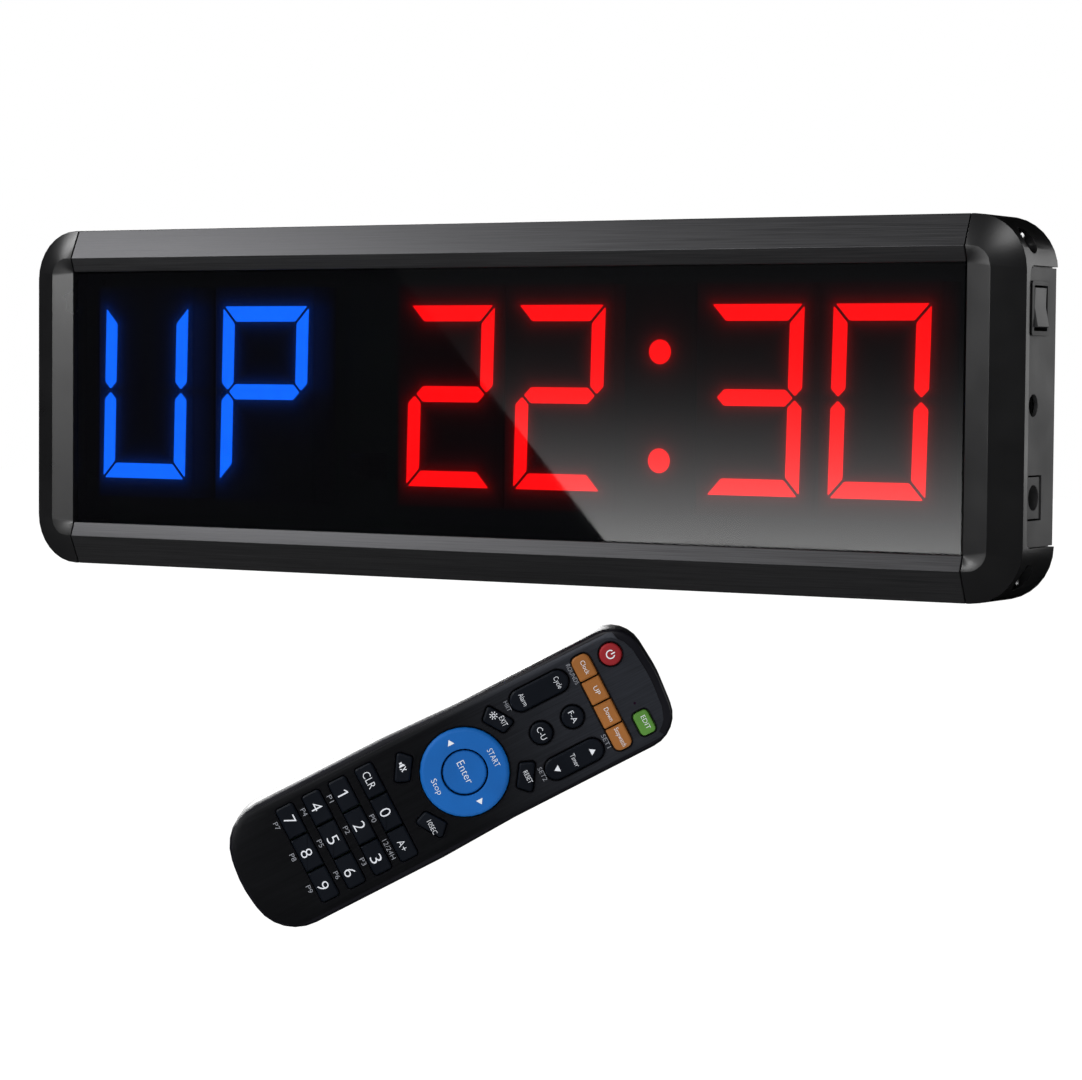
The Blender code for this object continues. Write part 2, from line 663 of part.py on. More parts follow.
def remote_outline(inset=0.0):
    """The remote's outline, crowned at both ends and a little wider at its bottom."""
    top, bottom = REMOTE_TOP_WIDTH / 2 - inset, REMOTE_BOTTOM_WIDTH / 2 - inset
    high, low = REMOTE_END - inset, inset - REMOTE_END
    top_round, bottom_round = REMOTE_TOP_CORNER - inset, REMOTE_BOTTOM_CORNER - inset
    top_shoulder, bottom_shoulder = high - REMOTE_TOP_CROWN, low + REMOTE_BOTTOM_CROWN
    return rounded([
        (0, low, REMOTE_CROWN_RADIUS, 3), (bottom, bottom_shoulder, bottom_round, 6),
        (bottom, -REMOTE_FLARE_Y, 0, 0), (top, REMOTE_FLARE_Y, 0, 0),
        (top, top_shoulder, top_round, 6), (0, high, REMOTE_CROWN_RADIUS, 3),
        (-top, top_shoulder, top_round, 6), (-top, REMOTE_FLARE_Y, 0, 0),
        (-bottom, -REMOTE_FLARE_Y, 0, 0), (-bottom, bottom_shoulder, bottom_round, 6),
    ])


def remote_back_solid(high):
    """The remote's outside from its back up to a height, with a rounded back edge."""
    levels = [
        (remote_outline(REMOTE_EDGE), BACK_Z),
        (remote_outline(REMOTE_EDGE * 0.3), BACK_Z + REMOTE_EDGE * 0.3),
        (remote_outline(), BACK_Z + REMOTE_EDGE), (remote_outline(), high),
    ]
    return stack(levels, facing_up)


def make_remote_shells(frame):
    levels = [
        (remote_outline(), PARTING_Z + GAP / 2), (remote_outline(), FACE_Z - REMOTE_EDGE),
        (remote_outline(REMOTE_EDGE * 0.3), FACE_Z - REMOTE_EDGE * 0.3),
        (remote_outline(REMOTE_EDGE), FACE_Z),
    ]
    top = add("remote_top_shell", stack(levels, facing_up), REMOTE_BLACK, parent=frame)
    inner = remote_outline(REMOTE_WALL)
    combine(top, prism(inner, PARTING_Z - GAP, FACE_Z - REMOTE_FACE, facing_up))
    combine(top, key_holes())
    led_y = REMOTE_END - REMOTE_WALL - GAP
    led_hole = prism(circle(0, LED_Z, LED_RADIUS + GAP, 16), led_y, led_y + REMOTE_WALL * 3, facing_end)
    combine(top, led_hole)

    bottom = add("remote_bottom_shell", remote_back_solid(PARTING_Z - GAP / 2), REMOTE_BLACK, parent=frame)
    combine(bottom, prism(inner, BACK_Z + REMOTE_BACK, PARTING_Z + GAP, facing_up))
    combine(bottom, cover_strip(GAP))

    cover = add("remote_battery_cover", remote_back_solid(PARTING_Z), REMOTE_BLACK, parent=frame)
    combine(cover, cover_strip(0.0), "INTERSECT")


def cover_strip(clearance):
    """The strip of the remote's back that slides off over the battery bay."""
    half = CELL_X + CELL_RADIUS + COVER_SIDE + clearance
    top_y = CELL_Y + CELL_LENGTH / 2 + COVER_TOP + clearance
    inside = COVER_Z + clearance
    outline = rectangle(0, (top_y - REMOTE_LENGTH) / 2, 2 * half, top_y + REMOTE_LENGTH)
    return prism(outline, BACK_Z - REMOTE_BACK, inside, facing_up)


def make_remote_insides(frame):
    board_top = FACE_Z - REMOTE_BOARD_TOP
    outline = remote_outline(REMOTE_WALL + REMOTE_BOARD_MARGIN)
    board = prism(outline, board_top - REMOTE_BOARD_THICKNESS, board_top, facing_up)
    add("remote_board", board, BOARD_GREEN, parent=frame)
    nub_radius, nub_length = CELL_NUB
    for name, side in (("remote_cell_left", -1), ("remote_cell_right", 1)):
        can = circle(side * CELL_X, CELL_Z, CELL_RADIUS)
        nub = circle(side * CELL_X, CELL_Z, nub_radius)
        low, high = (CELL_Y - side * CELL_LENGTH / 2, CELL_Y + side * CELL_LENGTH / 2)
        levels = [(can, low), (can, high), (nub, high), (nub, high + side * nub_length)]
        add(name, stack(levels, facing_end), CELL_WRAP, parent=frame)
    tip_y = REMOTE_END - LED_SINK
    body = circle(0, LED_Z, LED_RADIUS, 16)
    tip = circle(0, LED_Z, LED_RADIUS * 0.6, 16)
    levels = [(body, tip_y - LED_LENGTH), (body, tip_y - 1), (tip, tip_y)]
    add("remote_infrared_led", stack(levels, facing_end), SCREEN_TINT, parent=frame)


def key_place(place):
    """A key's centre, from its place across the remote and along from its top end."""
    return place[0], REMOTE_END + place[1]


def key_shape(outline, flange, rise=KEY_RISE):
    """A key from its foot, through its flange, to its rounded top edge."""
    flange_z = FACE_Z - KEY_FLANGE_TOP
    top_z = FACE_Z + rise
    levels = [
        (flange, FACE_Z - KEY_FOOT), (flange, flange_z), (outline, flange_z),
        (outline, top_z - KEY_EDGE), (grown(outline, -KEY_EDGE), top_z),
    ]
    return stack(levels, facing_up)


def add_key(name, outline, centre, look, frame, rise=KEY_RISE, flange=None):
    flange = flange or grown(outline, KEY_FLANGE)
    pivot = (*centre, FACE_Z - KEY_FOOT)
    add(name, key_shape(outline, flange, rise), look, pivot, frame)


def row_key(name, x, y, size, corners, look, frame, rise=KEY_RISE):
    """A key in a closed-up row: its flange stands out only above and below."""

    def outline(across, along):
        half_width, half_height = size[0] / 2 + across, size[1] / 2 + along
        sides = ((-1, -1), (1, -1), (1, 1), (-1, 1))
        return rounded([
            (x + a * half_width, y + b * half_height, radius, 3)
            for (a, b), radius in zip(sides, corners)
        ])

    add_key(name, outline(0.0, 0.0), (x, y), look, frame, rise, outline(-ROW_FLANGE_INSET, KEY_FLANGE))


def corner_keys():
    """The four keys round the ring, each as (name, outline, centre)."""
    names = (("key_reset", 1, 1), ("key_brightness", -1, 1), ("key_mute", -1, -1), ("key_ten_seconds", 1, -1))
    for name, across, along in names:
        points = [(across * x, RING_Y + along * y) for x, y in CORNER_KEY]
        if across * along < 0:
            points.reverse()
        outline = rounded([(x, y, CORNER_KEY_ROUND, 3) for x, y in points])
        yield name, outline, tuple(sum(p[i] for p in points) / len(points) for i in (0, 1))


def number_columns():
    step = NUMBER_MIDDLE / 2 + NUMBER_GAP + NUMBER_OUTER / 2
    return ((-step, NUMBER_OUTER), (0.0, NUMBER_MIDDLE), (step, NUMBER_OUTER))


def number_rows():
    first = REMOTE_END + NUMBERS_ALONG - NUMBER_HEIGHT / 2
    return [first - NUMBER_PITCH * row for row in range(4)]


def key_holes():
    """Every hole in the remote's face, as one cutter."""
    columns = number_columns()
    row_width = 2 * columns[-1][0] + NUMBER_OUTER
    outlines = [circle(*key_place(POWER_KEY), ROUND_KEY + GAP)]
    edit_size = (s + 2 * GAP for s in EDIT_SIZE)
    outlines.append(rectangle(*key_place(EDIT_KEY), *edit_size, EDIT_CORNER + GAP))
    outlines.append(rectangle(
        0, MODE_ROW_Y, MODE_ROW_WIDTH + 2 * GAP, MODE_ROW_HEIGHT + 2 * GAP, MODE_ROW_CORNER + GAP
    ))
    for x in (-PILL_X, PILL_X):
        width, height = (s + 2 * GAP for s in PILL_SIZE)
        outlines.append(rectangle(x, PILL_Y, width, height, width / 2 - 0.01, 8))
    outlines += [circle(*key_place((0.0, y)), ROUND_KEY + GAP) for y in ROUND_KEYS_ALONG]
    outlines.append(circle(0, RING_Y, RING_RADIUS + GAP, 32))
    outlines += [grown(outline, GAP) for _, outline, _ in corner_keys()]
    outlines += [
        rectangle(0, y, row_width + 2 * GAP, NUMBER_HEIGHT + 2 * GAP, NUMBER_CORNER + GAP)
        for y in number_rows()
    ]
    bm = bmesh.new()
    for outline in outlines:
        prism(outline, FACE_Z - 2 * REMOTE_FACE, FACE_Z + REMOTE_FACE, facing_up, bm)
    return bm


def make_upper_keys(frame):
    power, edit = key_place(POWER_KEY), key_place(EDIT_KEY)
    add_key("key_power", circle(*power, ROUND_KEY), power, KEY_RED, frame)
    add_key("key_edit", rectangle(*edit, *EDIT_SIZE, EDIT_CORNER), edit, KEY_GREEN, frame)
    width = (MODE_ROW_WIDTH - 3 * MODE_KEY_GAP) / 4
    edge, square = MODE_ROW_CORNER, 0.3
    for i, name in enumerate(("key_clock", "key_count_up", "key_count_down", "key_stopwatch")):
        x = -MODE_ROW_WIDTH / 2 + width / 2 + i * (width + MODE_KEY_GAP)
        left, right = (edge if i == 0 else square), (edge if i == 3 else square)
        size = (width, MODE_ROW_HEIGHT)
        row_key(name, x, MODE_ROW_Y, size, (left, right, right, left), KEY_ORANGE, frame)
    for name, x in (("key_cycle_alarm", -PILL_X), ("key_timer_set", PILL_X)):
        outline = rectangle(x, PILL_Y, *PILL_SIZE, PILL_SIZE[0] / 2 - 0.01, 6)
        add_key(name, outline, (x, PILL_Y), KEY_DARK, frame)
    for name, along in zip(("key_f_a", "key_c_u"), ROUND_KEYS_ALONG):
        place = key_place((0.0, along))
        add_key(name, circle(*place, ROUND_KEY), place, KEY_DARK, frame)


def make_ring_keys(frame):
    for name, outline, centre in corner_keys():
        add_key(name, outline, centre, KEY_DARK, frame)
    add_key("key_enter", circle(0, RING_Y, ENTER_RADIUS, 24), (0.0, RING_Y), KEY_BLUE, frame,
            flange=circle(0, RING_Y, ENTER_RADIUS, 24))
    steps = 32
    outer, inner = circle(0, RING_Y, RING_RADIUS, steps), circle(0, RING_Y, RING_INNER, steps)
    foot, top = FACE_Z - RING_FOOT, FACE_Z + RING_RISE
    ring_levels = [
        (outer, foot), (outer, top - 2 * KEY_EDGE),
        (circle(0, RING_Y, RING_RADIUS - 2 * KEY_EDGE, steps), top),
    ]
    web_top = FACE_Z - WEB_TOP
    pivot = (0.0, RING_Y, web_top - WEB_THICKNESS / 2)
    ring = add("key_ring", stack(ring_levels, facing_up), KEY_BLUE, pivot, frame)
    combine(ring, prism(inner, foot - 1, top + 1, facing_up), pivot=pivot)
    web_outline = circle(0, RING_Y, WEB_OUTER, steps)
    web = prism(web_outline, web_top - WEB_THICKNESS, web_top, facing_up)
    ring_web = add("ring_web", web, KEY_DARK, pivot, frame)
    hollow = prism(circle(0, RING_Y, WEB_INNER, steps), web_top - 2, web_top + 1, facing_up)
    combine(ring_web, hollow, pivot=pivot)


def make_number_keys(frame):
    names = (
        ("key_clear", "key_0", "key_a_plus"), ("key_1", "key_2", "key_3"),
        ("key_4", "key_5", "key_6"), ("key_7", "key_8", "key_9"),
    )
    round_corner, square = NUMBER_CORNER, 0.2
    for row, y in zip(names, number_rows()):
        for i, (name, (x, width)) in enumerate(zip(row, number_columns())):
            left, right = (round_corner if i == 0 else square), (round_corner if i == 2 else square)
            size, corners = (width, NUMBER_HEIGHT), (left, right, right, left)
            row_key(name, x, y, size, corners, KEY_DARK, frame, NUMBER_RISE)


def main():
    for thing in list(bpy.data.objects):
        bpy.data.objects.remove(thing, do_unlink=True)
    make_housing()
    make_caps()
    make_cap_screws()
    make_lens()
    make_display()
    make_hangers()
    make_port_plate()
    make_power_switch()
    make_power_jack()
    make_buzzer()
    frame = make_remote_frame()
    make_remote_shells(frame)
    make_remote_insides(frame)
    make_upper_keys(frame)
    make_ring_keys(frame)
    make_number_keys(frame)


main()
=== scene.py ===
"""Finished looks for a wall-mounted round timer and its hand remote.

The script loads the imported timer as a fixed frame, softens the edges of its nodes, lights the digits,
prints the key legends and gives every surface its material. The sizes and colours that a user would
change are in the property groups, and each group of pieces has its own operator. Metres, +Z up; the
timer's front faces -Y, and the remote's pieces are made in the remote's own directions: X to its
right, Y to its top end and Z out of its face.
"""

import json
import math

import bmesh
import bpy
from mathutils import Matrix, Vector
from mathutils.bvhtree import BVHTree

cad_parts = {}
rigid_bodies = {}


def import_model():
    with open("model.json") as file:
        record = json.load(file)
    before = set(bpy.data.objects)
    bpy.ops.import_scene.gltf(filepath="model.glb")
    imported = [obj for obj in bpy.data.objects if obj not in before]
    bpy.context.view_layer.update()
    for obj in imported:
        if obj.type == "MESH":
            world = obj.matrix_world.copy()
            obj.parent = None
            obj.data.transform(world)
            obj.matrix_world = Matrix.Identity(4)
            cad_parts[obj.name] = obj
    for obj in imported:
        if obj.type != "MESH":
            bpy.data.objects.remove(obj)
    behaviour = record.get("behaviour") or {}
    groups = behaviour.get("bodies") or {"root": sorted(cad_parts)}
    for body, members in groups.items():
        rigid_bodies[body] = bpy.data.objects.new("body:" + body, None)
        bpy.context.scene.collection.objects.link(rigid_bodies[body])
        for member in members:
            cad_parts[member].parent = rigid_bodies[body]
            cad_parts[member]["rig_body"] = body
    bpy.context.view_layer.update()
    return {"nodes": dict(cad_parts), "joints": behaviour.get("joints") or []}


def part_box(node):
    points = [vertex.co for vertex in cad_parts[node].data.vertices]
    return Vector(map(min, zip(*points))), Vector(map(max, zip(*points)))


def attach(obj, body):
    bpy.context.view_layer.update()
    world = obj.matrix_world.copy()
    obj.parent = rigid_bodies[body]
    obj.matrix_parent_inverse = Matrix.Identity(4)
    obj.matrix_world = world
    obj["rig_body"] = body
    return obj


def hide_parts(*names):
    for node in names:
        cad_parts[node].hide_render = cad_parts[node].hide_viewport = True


bl_info = {
    "name": "Gym round timer",
    "version": (1, 0, 0),
    "blender": (4, 5, 0),
    "location": "View3D > Sidebar > Round Timer",
    "description": "Surfaces, lit digits and key legends for a round timer and its remote",
    "category": "Object",
}

MM = 0.001
WELD = 0.002 * MM
FLAT = math.radians(0.5)
HARD = math.radians(32)
# Space between a print, a foil or a lit bar and what it lies on
CLEAR = 0.01 * MM

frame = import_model()

# Which of the seven segments each character lights: a top, b and c right, d bottom, e and f left, g middle
LIT = {"U": "bcdef", "P": "abefg", "2": "abdeg", "3": "abcdg", "0": "abcdef"}
DIGITS = ("digit_1", "digit_2", "digit_3", "digit_4", "digit_5", "digit_6")
# The middle bar's height as a share of the digit's, and how far a bar's slanted end and an upright
# bar's point stay back from their neighbours, as shares of the gap
MIDDLE_BAR = 0.512
END_REACH = 0.72
POINT_REACH = 0.6
SEGMENT_TOP = 0.14 * MM
SEGMENT_CORNER = 0.35 * MM
COLON_DOTS = (12.9 * MM, -13.6 * MM)
# Cell of the grid that holds the glow, then the near and the wide glow: share, and reach in mm
GLOW_CELL = 0.7 * MM
GLOW = ((0.3, 1.1), (0.03, 5.0))

# Legends on the keys: key, words, place across and along the remote, letter height and width, all in mm
KEY_WORDS = (
    ("key_edit", "EDIT", 9.2, 48.9, 1.1, 3.5),
    ("key_clock", "Clock", -9.4, 41.9, 1.1, 3.5),
    ("key_count_up", "UP", -3.1, 41.9, 1.15, 2.1),
    ("key_count_down", "Down", 3.4, 41.8, 1.1, 3.5),
    ("key_stopwatch", "Stopwatch", 9.6, 41.8, 1.1, 4.9),
    ("key_cycle_alarm", "Cycle", -9.13, 34.4, 1.2, 3.0),
    ("key_cycle_alarm", "Alarm", -9.25, 25.0, 1.2, 3.1),
    ("key_timer_set", "Timer", 9.6, 29.4, 1.15, 3.3),
    ("key_f_a", "F-A", 0.0, 33.8, 1.35, 2.9),
    ("key_c_u", "C-U", 0.1, 25.2, 1.4, 3.2),
    ("key_brightness", "EXIT", -6.8, 18.3, 1.3, 2.5),
    ("key_reset", "RESET", 8.0, 17.4, 1.15, 3.2),
    ("key_ten_seconds", "10SEC", 8.3, -8.9, 1.15, 3.6),
    ("key_ring", "START", 0.0, 12.15, 1.35, 4.7),
    ("key_ring", "Stop", 0.0, -3.3, 1.4, 4.0),
    ("key_enter", "Enter", 0.0, 4.4, 1.85, 5.8),
    ("key_clear", "CLR", -8.9, -17.3, 1.85, 4.2),
    ("key_0", "0", -0.1, -17.4, 2.65, 1.9),
    ("key_a_plus", "A+", 9.0, -17.4, 1.75, 2.7),
    ("key_2", "2", 0.0, -24.5, 2.75, 1.85),
    ("key_3", "3", 8.95, -24.6, 2.75, 1.85),
    ("key_4", "4", -9.0, -31.7, 2.75, 1.95),
    ("key_5", "5", 0.0, -31.75, 2.75, 1.85),
    ("key_6", "6", 8.95, -31.8, 2.75, 1.85),
    ("key_7", "7", -9.0, -38.9, 2.75, 1.85),
    ("key_8", "8", 0.0, -39.0, 2.75, 1.85),
    ("key_9", "9", 8.95, -39.1, 2.75, 1.85),
)

# Legends on the faceplate: words, place across and along the remote, letter height and width, all in mm
PLATE_WORDS = (
    ("ROUNDS", -9.2, 38.4, 1.05, 5.3),
    ("SET1", 9.0, 38.2, 1.05, 3.5),
    ("HIIT", -9.5, 20.8, 1.05, 2.6),
    ("SET2", 9.1, 20.8, 1.05, 3.5),
    ("P0", -0.1, -20.8, 1.2, 1.9),
    ("12/24H", 8.4, -20.8, 1.15, 5.2),
    ("P1", -9.1, -27.8, 1.15, 1.75),
    ("P2", -0.5, -27.8, 1.15, 1.85),
    ("P3", 8.2, -27.8, 1.15, 1.85),
    ("P4", -9.1, -35.0, 1.15, 1.85),
    ("P5", -0.5, -35.0, 1.15, 1.85),
    ("P6", 8.2, -35.0, 1.15, 1.85),
    ("P7", -9.1, -42.5, 1.15, 1.85),
    ("P8", -0.5, -42.5, 1.15, 1.85),
    ("P9", 8.2, -42.5, 1.15, 1.85),
)

KEY_FINISHES = {
    "key_power": "red silicone",
    "key_edit": "green silicone",
    "key_clock": "orange silicone",
    "key_count_up": "orange silicone",
    "key_count_down": "orange silicone",
    "key_stopwatch": "orange silicone",
    "key_ring": "blue silicone",
    "key_enter": "blue silicone",
}

# Corners of the glare card: its slanted left edge first, then its right edge
GLARE_CARD = (
    (-0.684, -1.0, 0.072),
    (-0.533, -1.0, -0.09),
    (-0.28, -1.0, -0.09),
    (-0.28, -1.0, 0.072),
)
# The card's light from its top to its foot: emission at the top, what is added at the foot, and how
# late it rises on the way down
GLARE_TOP = 0.06
GLARE_FOOT = 5.8
GLARE_RISE = 3.7

# Soft boxes: name, place, aim, width and height in metres, power in watts
SOFTBOXES = (
    ("upper left", (-0.45, -0.35, 0.35), (-0.1, 0, 0.04), (0.2, 0.2), 1.63),
    ("front left", (-0.44, -0.97, 0.18), (-0.13, 0, 0), (0.15, 0.15), 2.15),
    ("left of lens", (-0.58, -0.71, 0.22), (0.13, 0, 0), (0.15, 0.15), 0.3),
    ("above camera", (0.31, -0.85, 0.62), (0.13, 0, 0.03), (0.3, 0.3), 2.24),
    ("behind", (-1.0, 0.9, 0.35), (0, 0, 0), (0.8, 0.8), 12.0),
    ("right rim", (0.6, 1.0, 0.15), (0.14, 0, 0), (0.4, 0.5), 1.08),
)


# ---------------------------------------------------------------- places in the frame


def joint_axis(name):
    """The direction a joint moves or turns along, in the row frame."""
    return next(Vector(j["axis"]).normalized() for j in frame["joints"] if j["name"] == name)


def limits(points):
    """The lowest and highest corner of some points."""
    points = list(points)
    low = Vector(min(p[i] for p in points) for i in range(3))
    high = Vector(max(p[i] for p in points) for i in range(3))
    return low, high


def remote_place():
    """Takes the remote's own right, up and outward directions, about its middle, into the row frame."""
    outward = joint_axis("remote_lift")
    upward = -joint_axis("battery_cover_slide")
    turn = Matrix((upward.cross(outward), upward, outward)).transposed()
    shells = ("remote_top_shell", "remote_bottom_shell")
    points = [turn.inverted() @ v.co for n in shells for v in frame["nodes"][n].data.vertices]
    low, high = limits(points)
    return Matrix.Translation(turn @ ((low + high) / 2)) @ turn.to_4x4()


REMOTE = remote_place()


def remote_box(node):
    """The lowest and highest corner of a CAD node in the remote's own directions."""
    return limits(REMOTE.inverted() @ v.co for v in frame["nodes"][node].data.vertices)


# ---------------------------------------------------------------- materials


def surface(name, colour, roughness, metallic=0.0):
    """A new material with one Principled shader, and that shader."""
    made = bpy.data.materials.new(name)
    made.use_nodes = True
    shader = made.node_tree.nodes["Principled BSDF"]
    shader.inputs["Base Color"].default_value = (*colour, 1.0)
    shader.inputs["Roughness"].default_value = roughness
    shader.inputs["Metallic"].default_value = metallic
    return made, shader


def grain(made, cell, detail=2.0, turn=(0.0, 0.0, 0.0)):
    """Noise whose grains are `cell` metres long on each of the piece's axes, turned by `turn`."""
    nodes, links = made.node_tree.nodes, made.node_tree.links
    place = nodes.new("ShaderNodeTexCoord")
    mapping = nodes.new("ShaderNodeMapping")
    mapping.vector_type = "TEXTURE"
    mapping.inputs["Scale"].default_value = cell
    mapping.inputs["Rotation"].default_value = turn
    noise = nodes.new("ShaderNodeTexNoise")
    noise.inputs["Scale"].default_value = 1.0
    noise.inputs["Detail"].default_value = detail
    links.new(place.outputs["Object"], mapping.inputs["Vector"])
    links.new(mapping.outputs["Vector"], noise.inputs["Vector"])
    return noise.outputs["Fac"]


def spread(made, pattern, socket, low, high):
    """Lets a pattern move a socket's number between low and high."""
    nodes, links = made.node_tree.nodes, made.node_tree.links
    spread_out = nodes.new("ShaderNodeMapRange")
    spread_out.inputs["From Min"].default_value = 0.3
    spread_out.inputs["From Max"].default_value = 0.7
    spread_out.inputs["To Min"].default_value = low
    spread_out.inputs["To Max"].default_value = high
    links.new(pattern, spread_out.inputs["Value"])
    links.new(spread_out.outputs["Result"], socket)


def tinted(made, shader, pattern, dark, light):
    """Lets a pattern move the base colour between two colours."""
    nodes, links = made.node_tree.nodes, made.node_tree.links
    ramp = nodes.new("ShaderNodeValToRGB")
    ramp.color_ramp.elements[0].position = 0.3
    ramp.color_ramp.elements[0].color = (*dark, 1.0)
    ramp.color_ramp.elements[1].position = 0.7
    ramp.color_ramp.elements[1].color = (*light, 1.0)
    links.new(pattern, ramp.inputs["Fac"])
    links.new(ramp.outputs["Color"], shader.inputs["Base Color"])


def raised(made, shader, pattern, depth, strength=0.5):
    """Lets a pattern raise the surface by up to `depth`."""
    nodes, links = made.node_tree.nodes, made.node_tree.links
    bump = nodes.new("ShaderNodeBump")
    bump.inputs["Strength"].default_value = strength
    bump.inputs["Distance"].default_value = depth
    links.new(pattern, bump.inputs["Height"])
    links.new(bump.outputs["Normal"], shader.inputs["Normal"])


def shaded(colour, share):
    """A colour made lighter or darker by a share."""
    return tuple(min(1.0, part * share) for part in colour)


def moulded(name, colour, roughness, cell=0.35 * MM, depth=0.006 * MM):
    """Plastic with the fine spark-eroded texture of its mould, slightly uneven in gloss."""
    made, shader = surface(name, colour, roughness)
    texture = grain(made, (cell, cell, cell), 3.0)
    cloud = grain(made, (14 * MM, 14 * MM, 14 * MM), 2.0)
    raised(made, shader, texture, depth)
    tinted(made, shader, cloud, shaded(colour, 0.88), shaded(colour, 1.12))
    spread(made, cloud, shader.inputs["Roughness"], roughness - 0.04, roughness + 0.05)
    return made, shader


def brushed(name, colour, roughness, metallic, cell, turn=(0.0, 0.0, 0.0), depth=0.004 * MM):
    """A surface with fine lines of brushing along one direction."""
    made, shader = surface(name, colour, roughness, metallic)
    lines = grain(made, cell, 3.0, turn)
    raised(made, shader, lines, depth)
    tinted(made, shader, lines, shaded(colour, 0.75), shaded(colour, 1.25))
    spread(made, lines, shader.inputs["Roughness"], roughness - 0.05, roughness + 0.07)
    return made, shader


def silicone(name, colour):
    """Key rubber: little sheen and a very fine dust-like grain."""
    shader = moulded(name, colour, 0.5, 0.18 * MM, 0.004 * MM)[1]
    shader.inputs["Specular IOR Level"].default_value = 0.15


def printed(name, colour):
    """Screen-printed ink, slightly thin in places."""
    made, shader = surface(name, colour, 0.55)
    specks = grain(made, (0.25 * MM, 0.25 * MM, 0.25 * MM), 2.0)
    tinted(made, shader, specks, shaded(colour, 0.86), colour)


def glowing(name, colour, strength):
    """The diffuser over a lit segment: even light with a faint unevenness of its chips."""
    made, shader = surface(name, shaded(colour, 0.2), 0.5)
    shader.inputs["Emission Color"].default_value = (*colour, 1.0)
    chips = grain(made, (3 * MM, 3 * MM, 3 * MM), 1.0)
    spread(made, chips, shader.inputs["Emission Strength"], strength * 0.95, strength * 1.05)


def haloed(name, colour, strength):
    """The dark face round the segments, which scatters a little of their light."""
    made, shader = surface(name, (0.002, 0.002, 0.0025), 0.6)
    shader.inputs["Specular IOR Level"].default_value = 0.1
    nodes, links = made.node_tree.nodes, made.node_tree.links
    shader.inputs["Emission Color"].default_value = (*colour, 1.0)
    light = nodes.new("ShaderNodeAttribute")
    light.attribute_name = "glow"
    share = nodes.new("ShaderNodeMath")
    share.operation = "MULTIPLY"
    share.inputs[1].default_value = strength
    links.new(light.outputs["Fac"], share.inputs[0])
    links.new(share.outputs["Value"], shader.inputs["Emission Strength"])
    fine = grain(made, (0.4 * MM, 0.4 * MM, 0.4 * MM))
    raised(made, shader, fine, 0.004 * MM)


# ---------------------------------------------------------------- meshes


def copied(node):
    """A CAD node's mesh as whole faces with shared corners."""
    bm = bmesh.new()
    bm.from_mesh(frame["nodes"][node].data)
    bmesh.ops.remove_doubles(bm, verts=bm.verts, dist=WELD)
    bmesh.ops.dissolve_limit(bm, angle_limit=FLAT, verts=bm.verts, edges=bm.edges)
    return bm


def shown(bm, name, body, finish):
    """Makes a piece from a bmesh, with its material, on its body."""
    for face in bm.faces:
        face.smooth = True
    mesh = bpy.data.meshes.new(name)
    bm.to_mesh(mesh)
    bm.free()
    mesh.set_sharp_from_angle(angle=HARD)
    mesh.materials.append(bpy.data.materials[finish])
    piece = bpy.data.objects.new(name, mesh)
    bpy.context.scene.collection.objects.link(piece)
    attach(piece, body)
    return piece


def softened(piece, width, segments=2):
    """Rounds a piece's hard edges by `width` and keeps its flats flat."""
    edge = piece.modifiers.new("soft edges", "BEVEL")
    edge.width = width
    edge.segments = segments
    edge.limit_method = "ANGLE"
    edge.angle_limit = HARD
    edge.use_clamp_overlap = True
    edge.miter_outer = "MITER_ARC"
    flats = piece.modifiers.new("flat faces", "WEIGHTED_NORMAL")
    flats.weight = 90


def refined(node, finish, width, segments=2):
    """Shows a softened copy of a CAD node in the node's place."""
    source = frame["nodes"][node]
    piece = shown(copied(node), node + "_surface", source["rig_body"], finish)
    piece.data.set_sharp_from_angle(angle=math.pi)
    softened(piece, width, segments)
    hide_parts(node)


def plate_of(bm, corners, low, high):
    """Adds a flat plate to a bmesh: a polygon of (x, y) corners from height low to high."""
    verts = [bm.verts.new((x, y, low)) for x, y in corners]
    face = bm.faces.new(verts)
    if face.normal_update() or face.normal.z > 0:
        face.normal_flip()
    made = bmesh.ops.extrude_face_region(bm, geom=[face])
    top = [item for item in made["geom"] if isinstance(item, bmesh.types.BMVert)]
    bmesh.ops.translate(bm, verts=top, vec=(0, 0, high - low))
    return verts + top


def rounded(bm, edges, radius, segments):
    """Rounds some edges of a bmesh."""
    bmesh.ops.bevel(
        bm,
        geom=edges,
        offset=radius,
        offset_type="OFFSET",
        affect="EDGES",
        segments=segments,
        profile=0.5,
        material=-1,
    )


def rounded_plate(bm, corners, low, high, radius):
    """Adds a flat plate whose corners are rounded."""
    verts = plate_of(bm, corners, low, high)
    upright = {e for v in verts for e in v.link_edges if abs(e.verts[0].co.z - e.verts[1].co.z) > WELD}
    rounded(bm, list(upright), radius, 2)


def thickened(bm, faces, height):
    """Gives flat faces a thickness along +Z."""
    made = bmesh.ops.extrude_face_region(bm, geom=faces)
    top = [item for item in made["geom"] if isinstance(item, bmesh.types.BMVert)]
    bmesh.ops.translate(bm, verts=top, vec=(0, 0, height))
    bmesh.ops.recalc_face_normals(bm, faces=bm.faces)


def arc(bm, centre, inner, outer, start, sweep, steps):
    """Adds a ring, or part of one, between two radii."""
    start_line = [
        bm.verts.new((centre[0] + r * math.cos(start), centre[1] + r * math.sin(start), 0))
        for r in (inner, outer)
    ]
    edge = bm.edges.new(start_line)
    full = abs(sweep) > 2 * math.pi - 0.001
    bmesh.ops.spin(
        bm,
        geom=[edge, *start_line],
        cent=(*centre, 0),
        axis=(0, 0, 1),
        angle=sweep,
        steps=steps,
        use_merge=full,
    )


